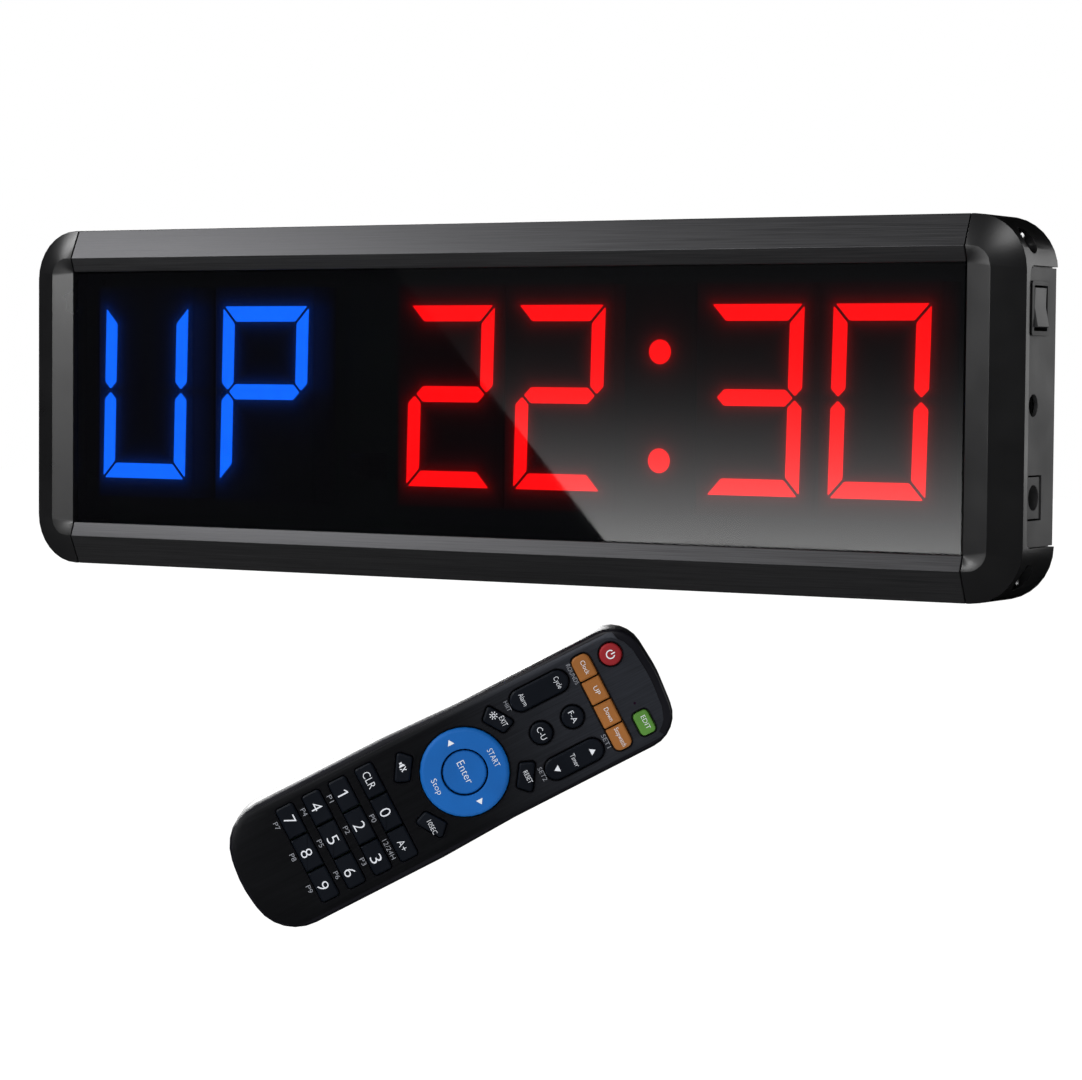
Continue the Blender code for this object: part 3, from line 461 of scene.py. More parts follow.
def flat_letters(words, boldness):
    """A flat mesh of letters with the built-in font, one unit of type high, on its baseline."""
    curve = bpy.data.curves.new("letters", "FONT")
    curve.body = words
    curve.resolution_u = 3
    curve.offset = boldness
    holder = bpy.data.objects.new("letters", curve)
    bpy.context.scene.collection.objects.link(holder)
    bpy.context.view_layer.update()
    depsgraph = bpy.context.evaluated_depsgraph_get()
    mesh = bpy.data.meshes.new_from_object(holder.evaluated_get(depsgraph))
    bpy.data.objects.remove(holder)
    bpy.data.curves.remove(curve)
    return mesh


def add_words(bm, words, x, y, height, width, top, ink):
    """Adds raised printed letters centred at (x, y) on a surface at height `top`, all in metres."""
    capital = flat_letters("H", ink.boldness)
    low, high = limits(v.co for v in capital.vertices)
    cap = high.y - low.y
    mesh = flat_letters(words, ink.boldness)
    left, right = limits(v.co for v in mesh.vertices)
    letters = bmesh.new()
    letters.from_mesh(mesh)
    bmesh.ops.remove_doubles(letters, verts=letters.verts, dist=0.0005)
    middle = Vector(((left.x + right.x) / 2, (low.y + high.y) / 2, 0))
    bmesh.ops.translate(letters, verts=letters.verts, vec=-middle)
    size = (width / (right.x - left.x), height / cap, 1)
    bmesh.ops.scale(letters, verts=letters.verts, vec=size)
    bmesh.ops.translate(letters, verts=letters.verts, vec=(x, y, top))
    thickened(letters, list(letters.faces), ink.thickness)
    joined = bpy.data.meshes.new("letters")
    letters.to_mesh(joined)
    letters.free()
    bm.from_mesh(joined)
    for spare in (capital, mesh, joined):
        bpy.data.meshes.remove(spare)


# ---------------------------------------------------------------- settings


def colour_setting(name, description, default):
    """A colour that a user may change."""
    return bpy.props.FloatVectorProperty(
        name=name, description=description, subtype="COLOR", min=0, max=1, default=default
    )


def length_setting(name, description, default):
    """A length that a user may change, in metres."""
    return bpy.props.FloatProperty(
        name=name, description=description, subtype="DISTANCE", unit="LENGTH", default=default
    )


def angle_setting(name, description, degrees):
    """An angle that a user may change."""
    return bpy.props.FloatProperty(
        name=name, description=description, subtype="ANGLE", default=math.radians(degrees)
    )


class TimerSurfaces(bpy.types.PropertyGroup):
    """Colours and edge softness of the timer's own surfaces."""

    housing_colour: colour_setting(
        "Housing", "Black anodised aluminium of the rails", (0.06, 0.06, 0.063)
    )
    cap_colour: colour_setting(
        "End caps", "Moulded black plastic of the end caps", (0.006, 0.006, 0.0065)
    )
    port_colour: colour_setting(
        "Port plate", "Plastic of the port plate and its rocker", (0.02, 0.02, 0.021)
    )
    lens_opacity: bpy.props.FloatProperty(
        name="Lens tint",
        description="Share of light that each face of the tinted lens stops",
        subtype="FACTOR",
        min=0,
        max=1,
        default=0.72,
    )
    rail_edge: length_setting("Rail edges", "Rounding of the housing's edges", 0.25 * MM)
    cap_edge: length_setting("Cap edges", "Rounding of the end caps' edges", 0.4 * MM)


class DisplaySettings(bpy.types.PropertyGroup):
    """What the display shows, and the shape and brightness of its segments."""

    characters: bpy.props.StringProperty(
        name="Characters",
        description="The six characters shown, from left to right",
        default="UP2230",
        maxlen=6,
    )
    blue: colour_setting("Blue", "Light of the two digits on the left", (0.004, 0.12, 1.0))
    red: colour_setting("Red", "Light of the four digits and the colon", (1.0, 0.002, 0.003))
    brightness: bpy.props.FloatProperty(
        name="Brightness",
        description="Emission of a lit segment behind the tinted lens",
        min=0,
        default=15.0,
    )
    halo: bpy.props.FloatProperty(
        name="Halo",
        description="Emission of the face beside a lit segment",
        min=0,
        default=3.2,
    )
    height: length_setting("Height", "Height of a digit", 45.9 * MM)
    blue_width: length_setting("Blue width", "Width of a blue digit", 27.4 * MM)
    red_width: length_setting("Red width", "Width of a red digit", 25.2 * MM)
    bar: length_setting("Level bar", "Thickness of a level segment", 4.0 * MM)
    post: length_setting("Upright bar", "Thickness of an upright segment", 3.7 * MM)
    gap: length_setting("Gap", "Space between two segments", 0.75 * MM)
    slant: angle_setting("Slant", "How far the digits lean to the right", 1.3)
    dot: length_setting("Dot radius", "Radius of the colon's dots", 3.0 * MM)


class RemoteSurfaces(bpy.types.PropertyGroup):
    """Colours and edge softness of the remote's surfaces."""

    shell_colour: colour_setting(
        "Shell", "Plastic of both shells and the battery cover", (0.006, 0.006, 0.009)
    )
    plate_colour: colour_setting("Faceplate", "Brushed foil of the faceplate", (0.0064, 0.0071, 0.0092))
    black_key: colour_setting("Black keys", "Rubber of the black keys", (0.003, 0.0048, 0.009))
    red_key: colour_setting("Red key", "Rubber of the power key", (0.22, 0.01, 0.014))
    orange_key: colour_setting("Orange keys", "Rubber of the four mode keys", (0.22, 0.082, 0.018))
    green_key: colour_setting("Green key", "Rubber of the edit key", (0.062, 0.17, 0.026))
    blue_key: colour_setting("Blue keys", "Rubber of the ring and the enter key", (0.002, 0.075, 0.28))
    shell_edge: length_setting("Shell edges", "Rounding of the shells' edges", 0.2 * MM)
    key_edge: length_setting("Key edges", "Rounding of the keys' edges", 0.3 * MM)
    plate_thickness: length_setting(
        "Faceplate thickness", "How far the foil stands above the shell", 0.12 * MM
    )
    # Painted sheen: how many times the foil's colour is lightened at the remote's head, in place of the
    # light it reflects there
    plate_head_sheen: bpy.props.FloatProperty(
        name="Faceplate head",
        description="How many times lighter the foil is at the remote's head",
        default=4.6,
    )
    plate_gap: length_setting(
        "Faceplate gap", "How far the foil stays back from its outline and from each key hole", 0.22 * MM
    )
    plate_top_inset: length_setting(
        "Faceplate inset, top", "Bare rim of the shell at the remote's top end", 2.0 * MM
    )
    plate_side_inset: length_setting(
        "Faceplate inset, sides", "Bare rim of the shell along the remote's sides", 1.1 * MM
    )


class LegendSettings(bpy.types.PropertyGroup):
    """The printed legends on keys and faceplate."""

    key_ink: colour_setting("Key ink", "Ink on the keys", (0.6, 0.62, 0.66))
    plate_ink: colour_setting("Plate ink", "Ink on the faceplate", (0.24, 0.25, 0.28))
    thickness: length_setting("Ink thickness", "Height of the printed ink", 0.04 * MM)
    boldness: bpy.props.FloatProperty(
        name="Boldness",
        description="How much each letter's outline grows, as a share of the type size",
        default=-0.012,
    )


class StageSettings(bpy.types.PropertyGroup):
    """Camera, floor and studio lights."""

    camera_place: bpy.props.FloatVectorProperty(
        name="Camera",
        description="Where the camera stands",
        subtype="TRANSLATION",
        unit="LENGTH",
        default=(0.4424, -0.7219, 0.0068),
    )
    yaw: angle_setting("Yaw", "How far the camera looks to the left of the timer's back", 31.22)
    pitch: angle_setting("Pitch", "How far the camera looks down", 2.84)
    roll: angle_setting("Roll", "How far the camera leans", 0.47)
    lens: bpy.props.FloatProperty(
        name="Focal length",
        description="Focal length of the lens for a 36 mm wide sensor",
        subtype="DISTANCE_CAMERA",
        unit="CAMERA",
        default=110.03,
    )
    floor_height: length_setting(
        "Floor height", "Height of the studio floor below the timer's middle", -0.6
    )


# ---------------------------------------------------------------- operators


class ROUNDTIMER_OT_finishes(bpy.types.Operator):
    """Mix every material from the chosen colours"""

    bl_idname = "roundtimer.finishes"
    bl_label = "Mix finishes"

    def execute(self, context):
        """Makes each material once; the other operators take them by name."""
        timer = context.scene.timer_surfaces
        remote = context.scene.timer_remote
        display = context.scene.timer_display
        legends = context.scene.timer_legends
        along_rails = (22 * MM, 0.16 * MM, 0.16 * MM)
        along_remote = (0.14 * MM, 12 * MM, 0.14 * MM)
        remote_turn = REMOTE.to_euler()

        brushed("black anodised", timer.housing_colour, 0.42, 0.85, along_rails)
        moulded("satin black plastic", timer.cap_colour, 0.3)
        moulded("port plate plastic", timer.port_colour, 0.45)
        moulded("rocker plastic", shaded(timer.port_colour, 1.2), 0.38)
        moulded("dark moulding", (0.008, 0.008, 0.009), 0.45)
        brushed("bright steel", (0.62, 0.62, 0.63), 0.22, 1.0, (0.3 * MM, 0.3 * MM, 0.3 * MM))
        brushed("zinc-plated sheet", (0.5, 0.5, 0.52), 0.34, 1.0, (0.2 * MM, 6 * MM, 4 * MM))

        lens, shader = surface("tinted acrylic", (0.002, 0.002, 0.0025), 0.04)
        shader.inputs["IOR"].default_value = 1.49
        shader.inputs["Alpha"].default_value = timer.lens_opacity
        smears = grain(lens, (30 * MM, 30 * MM, 9 * MM), 3.0)
        spread(lens, smears, shader.inputs["Roughness"], 0.01, 0.025)

        glowing("blue light", display.blue, display.brightness)
        glowing("red light", display.red, display.brightness)
        haloed("blue digit face", display.blue, display.halo)
        haloed("red digit face", display.red, display.halo)

        board, shader = surface("circuit board", (0.01, 0.05, 0.02), 0.4)
        traces = grain(board, (6 * MM, 6 * MM, 0.8 * MM), 1.0)
        tinted(board, shader, traces, (0.006, 0.035, 0.014), (0.014, 0.07, 0.03))
        raised(board, shader, traces, 0.03 * MM)

        shell = moulded("remote shell plastic", remote.shell_colour, 0.34, 0.3 * MM)[1]
        shell.inputs["Specular IOR Level"].default_value = 0.25
        plate, shader = brushed(
            "brushed faceplate", remote.plate_colour, 0.42, 0.55, along_remote, remote_turn
        )
        # The faceplate's colour gets a painted sheen that grows lighter towards the remote's head
        self.paint_head_sheen(plate, shader, remote)
        silicone("black silicone", remote.black_key)
        silicone("red silicone", remote.red_key)
        silicone("orange silicone", remote.orange_key)
        silicone("green silicone", remote.green_key)
        silicone("blue silicone", remote.blue_key)
        smoke = moulded("smoked window", (0.012, 0.004, 0.012), 0.12)[1]
        smoke.inputs["Coat Weight"].default_value = 0.5

        wrap, shader = surface("cell wrap", (0.02, 0.09, 0.05), 0.3)
        bands = grain(wrap, (60 * MM, 9 * MM, 60 * MM), 0.0, remote_turn)
        tinted(wrap, shader, bands, (0.008, 0.02, 0.014), (0.03, 0.16, 0.08))

        printed("key ink", legends.key_ink)
        printed("plate ink", legends.plate_ink)
        return {"FINISHED"}

    @staticmethod
    def paint_head_sheen(plate, shader, remote):
        """Painted sheen: the foil's base colour grows lighter towards the remote's head, where it stands
        in for the light the foil reflects.
        """
        nodes, links = plate.node_tree.nodes, plate.node_tree.links
        brushing = shader.inputs["Base Color"].links[0].from_socket
        place = nodes.new("ShaderNodeTexCoord")
        along = nodes.new("ShaderNodeVectorMath")
        along.operation = "DOT_PRODUCT"
        upward = REMOTE.to_3x3() @ Vector((0.0, 1.0, 0.0))
        along.inputs[1].default_value = upward
        middle = REMOTE.translation.dot(upward)
        share = nodes.new("ShaderNodeMapRange")
        share.interpolation_type = "SMOOTHSTEP"
        share.inputs["From Min"].default_value = middle - 5 * MM
        share.inputs["From Max"].default_value = middle + 45 * MM
        share.inputs["To Min"].default_value = 1.0
        share.inputs["To Max"].default_value = remote.plate_head_sheen
        scaled = nodes.new("ShaderNodeVectorMath")
        scaled.operation = "SCALE"
        links.new(place.outputs["Object"], along.inputs[0])
        links.new(along.outputs["Value"], share.inputs["Value"])
        links.new(brushing, scaled.inputs[0])
        links.new(share.outputs["Result"], scaled.inputs["Scale"])
        links.new(scaled.outputs["Vector"], shader.inputs["Base Color"])


class ROUNDTIMER_OT_housing(bpy.types.Operator):
    """Finish the extruded rails, the two moulded end caps and the cap screws"""

    bl_idname = "roundtimer.housing"
    bl_label = "Housing and caps"

    def execute(self, context):
        """Softens the edges that catch the light."""
        timer = context.scene.timer_surfaces
        refined("housing_extrusion", "black anodised", timer.rail_edge)
        refined("left_end_cap", "satin black plastic", timer.cap_edge, 3)
        refined("right_end_cap", "satin black plastic", timer.cap_edge, 3)
        for side in ("left", "right"):
            for level in ("low", "high"):
                screw = f"cap_screw_{side}_{level}"
                refined(screw, "bright steel", 0.3 * MM)
                self.add_cross_shade(screw, 1 if side == "right" else -1)
        return {"FINISHED"}

    @staticmethod
    def add_cross_shade(screw, side):
        """Painted shade: a thin dark cross laid on a screw's head, which faces out of the cap, stands in
        for the shade inside its cross recess.
        """
        low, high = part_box(screw)
        bm = bmesh.new()
        half, arm = 0.32 * MM, 1.35 * MM
        corners = [(half, half), (half, arm), (-half, arm), (-half, half), (-arm, half), (-arm, -half)]
        corners += [(-x, -y) for x, y in corners]
        # The dark cross sits just above the head as painted shade; no recess is cut
        plate_of(bm, corners, CLEAR, 0.03 * MM)
        askew = Matrix.Rotation(0.5, 4, "Z")
        turn = Matrix.Rotation(side * math.pi / 2, 4, "Y") @ askew
        face = Vector((high.x if side > 0 else low.x, (low.y + high.y) / 2, (low.z + high.z) / 2))
        bmesh.ops.transform(bm, matrix=Matrix.Translation(face) @ turn, verts=bm.verts)
        shown(bm, screw + "_cross", "timer", "dark moulding")


class ROUNDTIMER_OT_lens(bpy.types.Operator):
    """Finish the tinted lens"""

    bl_idname = "roundtimer.lens"
    bl_label = "Lens"

    def execute(self, context):
        """The lens keeps its flat face and gets polished edges."""
        refined("display_lens", "tinted acrylic", 0.15 * MM)
        return {"FINISHED"}


def segment_outlines(width, shape):
    """The seven segments of a digit as lists of (x, z) corners, from its lower left corner."""
    height, bar, post, gap = shape.height, shape.bar, shape.post, shape.gap
    middle = height * MIDDLE_BAR
    reach = gap * END_REACH
    tip = post / 2
    point = middle + gap * POINT_REACH
    under = middle - gap * POINT_REACH
    upper_left = (
        (0, height - reach),
        (0, point + tip),
        (tip, point),
        (post, point + tip),
        (post, height - bar - reach),
    )
    lower_left = (
        (0, reach),
        (post, bar + reach),
        (post, under - tip),
        (tip, under),
        (0, under - tip),
    )
    return {
        "a": (
            (reach, height),
            (post + reach, height - bar),
            (width - post - reach, height - bar),
            (width - reach, height),
        ),
        "b": tuple((width - x, z) for x, z in reversed(upper_left)),
        "c": tuple((width - x, z) for x, z in reversed(lower_left)),
        "d": (
            (reach, 0),
            (width - reach, 0),
            (width - post - reach, bar),
            (post + reach, bar),
        ),
        "e": lower_left,
        "f": upper_left,
        "g": (
            (tip + reach, middle),
            (tip + reach + bar / 2, middle - bar / 2),
            (width - tip - reach - bar / 2, middle - bar / 2),
            (width - tip - reach, middle),
            (width - tip - reach - bar / 2, middle + bar / 2),
            (tip + reach + bar / 2, middle + bar / 2),
        ),
    }


def facing_front(bm, left, bottom, front):
    """Stands a flat shape up on the timer's front: its X stays, its Y goes up and its Z comes out."""
    stand = Matrix.Translation((left, front, bottom)) @ Matrix.Rotation(math.pi / 2, 4, "X")
    bmesh.ops.transform(bm, matrix=stand, verts=bm.verts)


def glow_face(node, finish, sources):
    """Shows a display block whose front has a fine grid that holds how much light falls on it."""
    low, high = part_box(node)
    bm = bmesh.new()
    across, up = (round(side / GLOW_CELL) for side in (high.x - low.x, high.z - low.z))
    bmesh.ops.create_grid(bm, x_segments=across, y_segments=up, size=0.5)
    bmesh.ops.scale(bm, verts=bm.verts, vec=(high.x - low.x, high.z - low.z, 1))
    facing_front(bm, (low.x + high.x) / 2, (low.z + high.z) / 2, low.y)
    rim = [e for e in bm.edges if e.is_boundary]
    wall = bmesh.ops.extrude_edge_only(bm, edges=rim)["geom"]
    back = [item for item in wall if isinstance(item, bmesh.types.BMVert)]
    bmesh.ops.translate(bm, verts=back, vec=(0, high.y - low.y, 0))
    bmesh.ops.edgeloop_fill(bm, edges=[item for item in wall if isinstance(item, bmesh.types.BMEdge)])
    bmesh.ops.recalc_face_normals(bm, faces=bm.faces)
    tree = BVHTree.FromBMesh(sources)
    glow = bm.verts.layers.float.new("glow")
    for vert in bm.verts:
        if vert.co.y < low.y + WELD:
            distance = tree.find_nearest(vert.co)[3] / MM
            vert[glow] = sum(share * math.exp(-distance / reach) for share, reach in GLOW)
    piece = shown(bm, node + "_surface", "timer", finish)
    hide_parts(node)


class ROUNDTIMER_OT_digits(bpy.types.Operator):
    """Make the lit segments of the six digits"""

    bl_idname = "roundtimer.digits"
    bl_label = "Digits"

    def execute(self, context):
        """Each digit has a block with its halo and its lit bars."""
        shape = context.scene.timer_display
        for place, (node, character) in enumerate(zip(DIGITS, shape.characters)):
            if character not in LIT:
                raise ValueError(f"The display has no segments for {character!r}")
            colour, width = ("blue", shape.blue_width) if place < 2 else ("red", shape.red_width)
            low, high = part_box(node)
            left = (low.x + high.x - width) / 2
            bottom = (low.z + high.z - shape.height) / 2
            outlines = segment_outlines(width, shape)
            bm = bmesh.new()
            for letter in LIT[character]:
                rounded_plate(bm, outlines[letter], CLEAR, SEGMENT_TOP, SEGMENT_CORNER)
            lean = Matrix.Identity(4)
            lean[0][1] = math.tan(shape.slant)
            bmesh.ops.translate(bm, verts=bm.verts, vec=(0, -shape.height / 2, 0))
            bmesh.ops.transform(bm, matrix=lean, verts=bm.verts)
            bmesh.ops.translate(bm, verts=bm.verts, vec=(0, shape.height / 2, 0))
            facing_front(bm, left, bottom, low.y)
            glow_face(node, f"{colour} digit face", bm)
            shown(bm, f"{node}_lit_segments", "timer", f"{colour} light")
        return {"FINISHED"}


class ROUNDTIMER_OT_colon(bpy.types.Operator):
    """Make the colon's two lit dots"""

    bl_idname = "roundtimer.colon"
    bl_label = "Colon"

    def execute(self, context):
        """The dots are thin flat round discs."""
        shape = context.scene.timer_display
        low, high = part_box("colon_module")
        bm = bmesh.new()
        for level in COLON_DOTS:
            dot = bmesh.ops.create_circle(bm, cap_ends=True, radius=shape.dot, segments=40)["verts"]
            bmesh.ops.translate(bm, verts=dot, vec=(0, level, CLEAR))
        thickened(bm, list(bm.faces), SEGMENT_TOP - CLEAR)
        facing_front(bm, (low.x + high.x) / 2, 0, low.y)
        glow_face("colon_module", "red digit face", bm)
        shown(bm, "colon_lit_dots", "timer", "red light")
        return {"FINISHED"}


class ROUNDTIMER_OT_inside(bpy.types.Operator):
    """Finish the board, receiver and buzzer behind the display"""

    bl_idname = "roundtimer.inside"
    bl_label = "Inside"

    def execute(self, context):
        """These show only as dark shapes through the lens and the sound hole."""
        refined("main_board", "circuit board", 0.1 * MM)
        refined("infrared_receiver", "dark moulding", 0.2 * MM)
        refined("buzzer", "dark moulding", 0.2 * MM)
        return {"FINISHED"}


class ROUNDTIMER_OT_ports(bpy.types.Operator):
    """Finish the port plate with its switch, jack and sound hole"""

    bl_idname = "roundtimer.ports"
    bl_label = "Ports"

    def execute(self, context):
        """The jack also gets its bright centre pin."""
        refined("port_plate", "port plate plastic", 0.15 * MM)
        refined("power_switch_body", "dark moulding", 0.15 * MM)
        refined("power_rocker", "rocker plastic", 0.25 * MM, 3)
        refined("power_jack", "port plate plastic", 0.15 * MM)
        self.add_pin()
        return {"FINISHED"}

    @staticmethod
    def add_pin():
        """A pin with a rounded tip, set back in the jack's socket."""
        radius, length, set_back = 1.12 * MM, 5.4 * MM, 5.9 * MM
        low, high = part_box("power_jack")
        bm = bmesh.new()
        bmesh.ops.create_cone(
            bm, cap_ends=True, radius1=radius, radius2=radius, depth=length, segments=32
        )
        rounded(bm, [e for e in bm.edges if all(v.co.z > 0 for v in e.verts)], 0.4 * MM, 3)
        lie = Matrix.Rotation(math.pi / 2, 4, "Y")
        middle = Vector((high.x - set_back, (low.y + high.y) / 2, (low.z + high.z) / 2))
        bmesh.ops.transform(bm, matrix=Matrix.Translation(middle) @ lie, verts=bm.verts)
        shown(bm, "power_jack_pin", "timer", "bright steel")


class ROUNDTIMER_OT_hangers(bpy.types.Operator):
    """Finish the two keyhole hangers on the back"""

    bl_idname = "roundtimer.hangers"
    bl_label = "Hangers"

    def execute(self, context):
        """Pressed sheet steel has slightly rounded edges."""
        refined("left_hanger", "zinc-plated sheet", 0.2 * MM)
        refined("right_hanger", "zinc-plated sheet", 0.2 * MM)
        return {"FINISHED"}


class ROUNDTIMER_OT_remote(bpy.types.Operator):
    """Finish the remote's shells, battery cover and inside"""

    bl_idname = "roundtimer.remote"
    bl_label = "Remote shells"

    def execute(self, context):
        """The cover also gets its thumb ridges and an arrow."""
        remote = context.scene.timer_remote
        refined("remote_top_shell", "remote shell plastic", remote.shell_edge)
        refined("remote_bottom_shell", "remote shell plastic", remote.shell_edge)
        refined("remote_battery_cover", "remote shell plastic", remote.shell_edge)
        refined("remote_board", "circuit board", 0.1 * MM)
        refined("remote_cell_left", "cell wrap", 0.2 * MM)
        refined("remote_cell_right", "cell wrap", 0.2 * MM)
        refined("remote_infrared_led", "smoked window", 0.2 * MM)
        refined("ring_web", "black silicone", 0.1 * MM)
        self.add_grip()
        return {"FINISHED"}

    @staticmethod
    def add_grip():
        """Five thumb ridges and an arrow on the battery cover, below its top edge."""
        low, high = remote_box("remote_battery_cover")
        bm = bmesh.new()
        ridges, pitch, ridge_size = 5, 1.5 * MM, (9 * MM, 0.6 * MM, 0.3 * MM)
        face = low.z - 0.12 * MM
        for ridge in range(ridges):
            rib = bmesh.ops.create_cube(bm, size=1)["verts"]
            bmesh.ops.scale(bm, verts=rib, vec=ridge_size)
            bmesh.ops.translate(bm, verts=rib, vec=(0, high.y - 7 * MM - pitch * ridge, face))
        head = bmesh.ops.create_cone(
            bm, cap_ends=True, radius1=1.9 * MM, radius2=1.6 * MM, depth=0.3 * MM, segments=3
        )["verts"]
        turn = Matrix.Rotation(math.pi, 4, "X")
        place = Matrix.Translation((0, high.y - 16.5 * MM, face))
        bmesh.ops.transform(bm, matrix=place @ turn, verts=head)
        bmesh.ops.transform(bm, matrix=REMOTE, verts=bm.verts)
        body = frame["nodes"]["remote_battery_cover"]["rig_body"]
        grip = shown(bm, "remote_battery_cover_grip", body, "remote shell plastic")
        softened(grip, 0.12 * MM)


class ROUNDTIMER_OT_keys(bpy.types.Operator):
    """Finish every key of the remote"""

    bl_idname = "roundtimer.keys"
    bl_label = "Keys"

    def execute(self, context):
        """Each key keeps its CAD shape and gets the rounded edges of rubber."""
        remote = context.scene.timer_remote
        keys = sorted(n for n in frame["nodes"] if n.startswith("key_"))
        for key in keys:
            refined(key, KEY_FINISHES.get(key, "black silicone"), remote.key_edge, 3)
        return {"FINISHED"}


def plate_outline(remote, half_width, half_length):
    """The faceplate's convex outline, from the bottom right corner counterclockwise."""
    side = half_width - remote.plate_side_inset
    top = half_length - remote.plate_top_inset
    narrow = side - 0.8 * MM
    radius = 7.2 * MM
    crown = 1.3 * MM
    corners = [(side, -half_length + 9 * MM), (narrow, top - radius - crown)]
    steps = 7
    for step in range(1, steps):
        angle = math.radians(82) * step / steps
        corners.append(
            (
                narrow - radius + radius * math.cos(angle),
                top - radius - crown + radius * math.sin(angle),
            )
        )
    shoulder_x, shoulder_y = corners[-1]
    rise = top - shoulder_y
    for step in (0.66, 0.33, 0.0):
        corners.append((shoulder_x * step, shoulder_y + rise * (1 - step**2)))
    return corners


class ROUNDTIMER_OT_faceplate(bpy.types.Operator):
    """Lay the brushed faceplate over the remote's front"""

    bl_idname = "roundtimer.faceplate"
    bl_label = "Faceplate"

    def execute(self, context):
        """The foil follows the shell's front, cut to its own outline, and has the same key holes."""
        remote = context.scene.timer_remote
        high = remote_box("remote_top_shell")[1]
        bm = copied("remote_top_shell")
        bmesh.ops.transform(bm, matrix=REMOTE.inverted(), verts=bm.verts)
        bm.normal_update()
        bmesh.ops.dissolve_degenerate(bm, dist=WELD, edges=bm.edges)
        rolled_off = high.z - 0.9 * MM
        faces_up = 0.45
        spare = [
            f
            for f in bm.faces
            if min(v.co.z for v in f.verts) < (rolled_off if f.normal.z > faces_up else high.z - WELD)
        ]
        bmesh.ops.delete(bm, geom=spare, context="FACES")
        corners = plate_outline(remote, high.x, high.y)
        corners += [(-x, y) for x, y in reversed(corners[:-1])]
        for (x0, y0), (x1, y1) in zip(corners, corners[1:]):
            bmesh.ops.bisect_plane(
                bm,
                geom=[*bm.verts, *bm.edges, *bm.faces],
                dist=WELD,
                plane_co=(x0, y0, 0),
                plane_no=(y1 - y0, x0 - x1, 0),
                clear_outer=True,
            )
        bmesh.ops.triangulate(bm, faces=bm.faces, quad_method="BEAUTY", ngon_method="BEAUTY")
        rim = bmesh.ops.inset_region(
            bm, faces=bm.faces, thickness=remote.plate_gap, use_boundary=True
        )["faces"]
        bmesh.ops.delete(bm, geom=rim, context="FACES")
        bmesh.ops.translate(bm, verts=bm.verts, vec=(0, 0, CLEAR))
        thickened(bm, list(bm.faces), remote.plate_thickness)
        bmesh.ops.transform(bm, matrix=REMOTE, verts=bm.verts)
        shown(bm, "remote_faceplate", "remote", "brushed faceplate")
        self.add_lamp(high.z + CLEAR + remote.plate_thickness)
        return {"FINISHED"}

    @staticmethod
    def add_lamp(top):
        """The small dark lamp between the power key and the edit key."""
        x, y, radius, height = 3.95 * MM, 48.6 * MM, 0.3 * MM, 0.05 * MM
        lamp = bmesh.new()
        bmesh.ops.create_circle(lamp, cap_ends=True, radius=radius, segments=24)
        bmesh.ops.translate(lamp, verts=lamp.verts, vec=(x, y, top))
        thickened(lamp, list(lamp.faces), height)
        bmesh.ops.transform(lamp, matrix=REMOTE, verts=lamp.verts)
        shown(lamp, "remote_lamp", "remote", "smoked window")


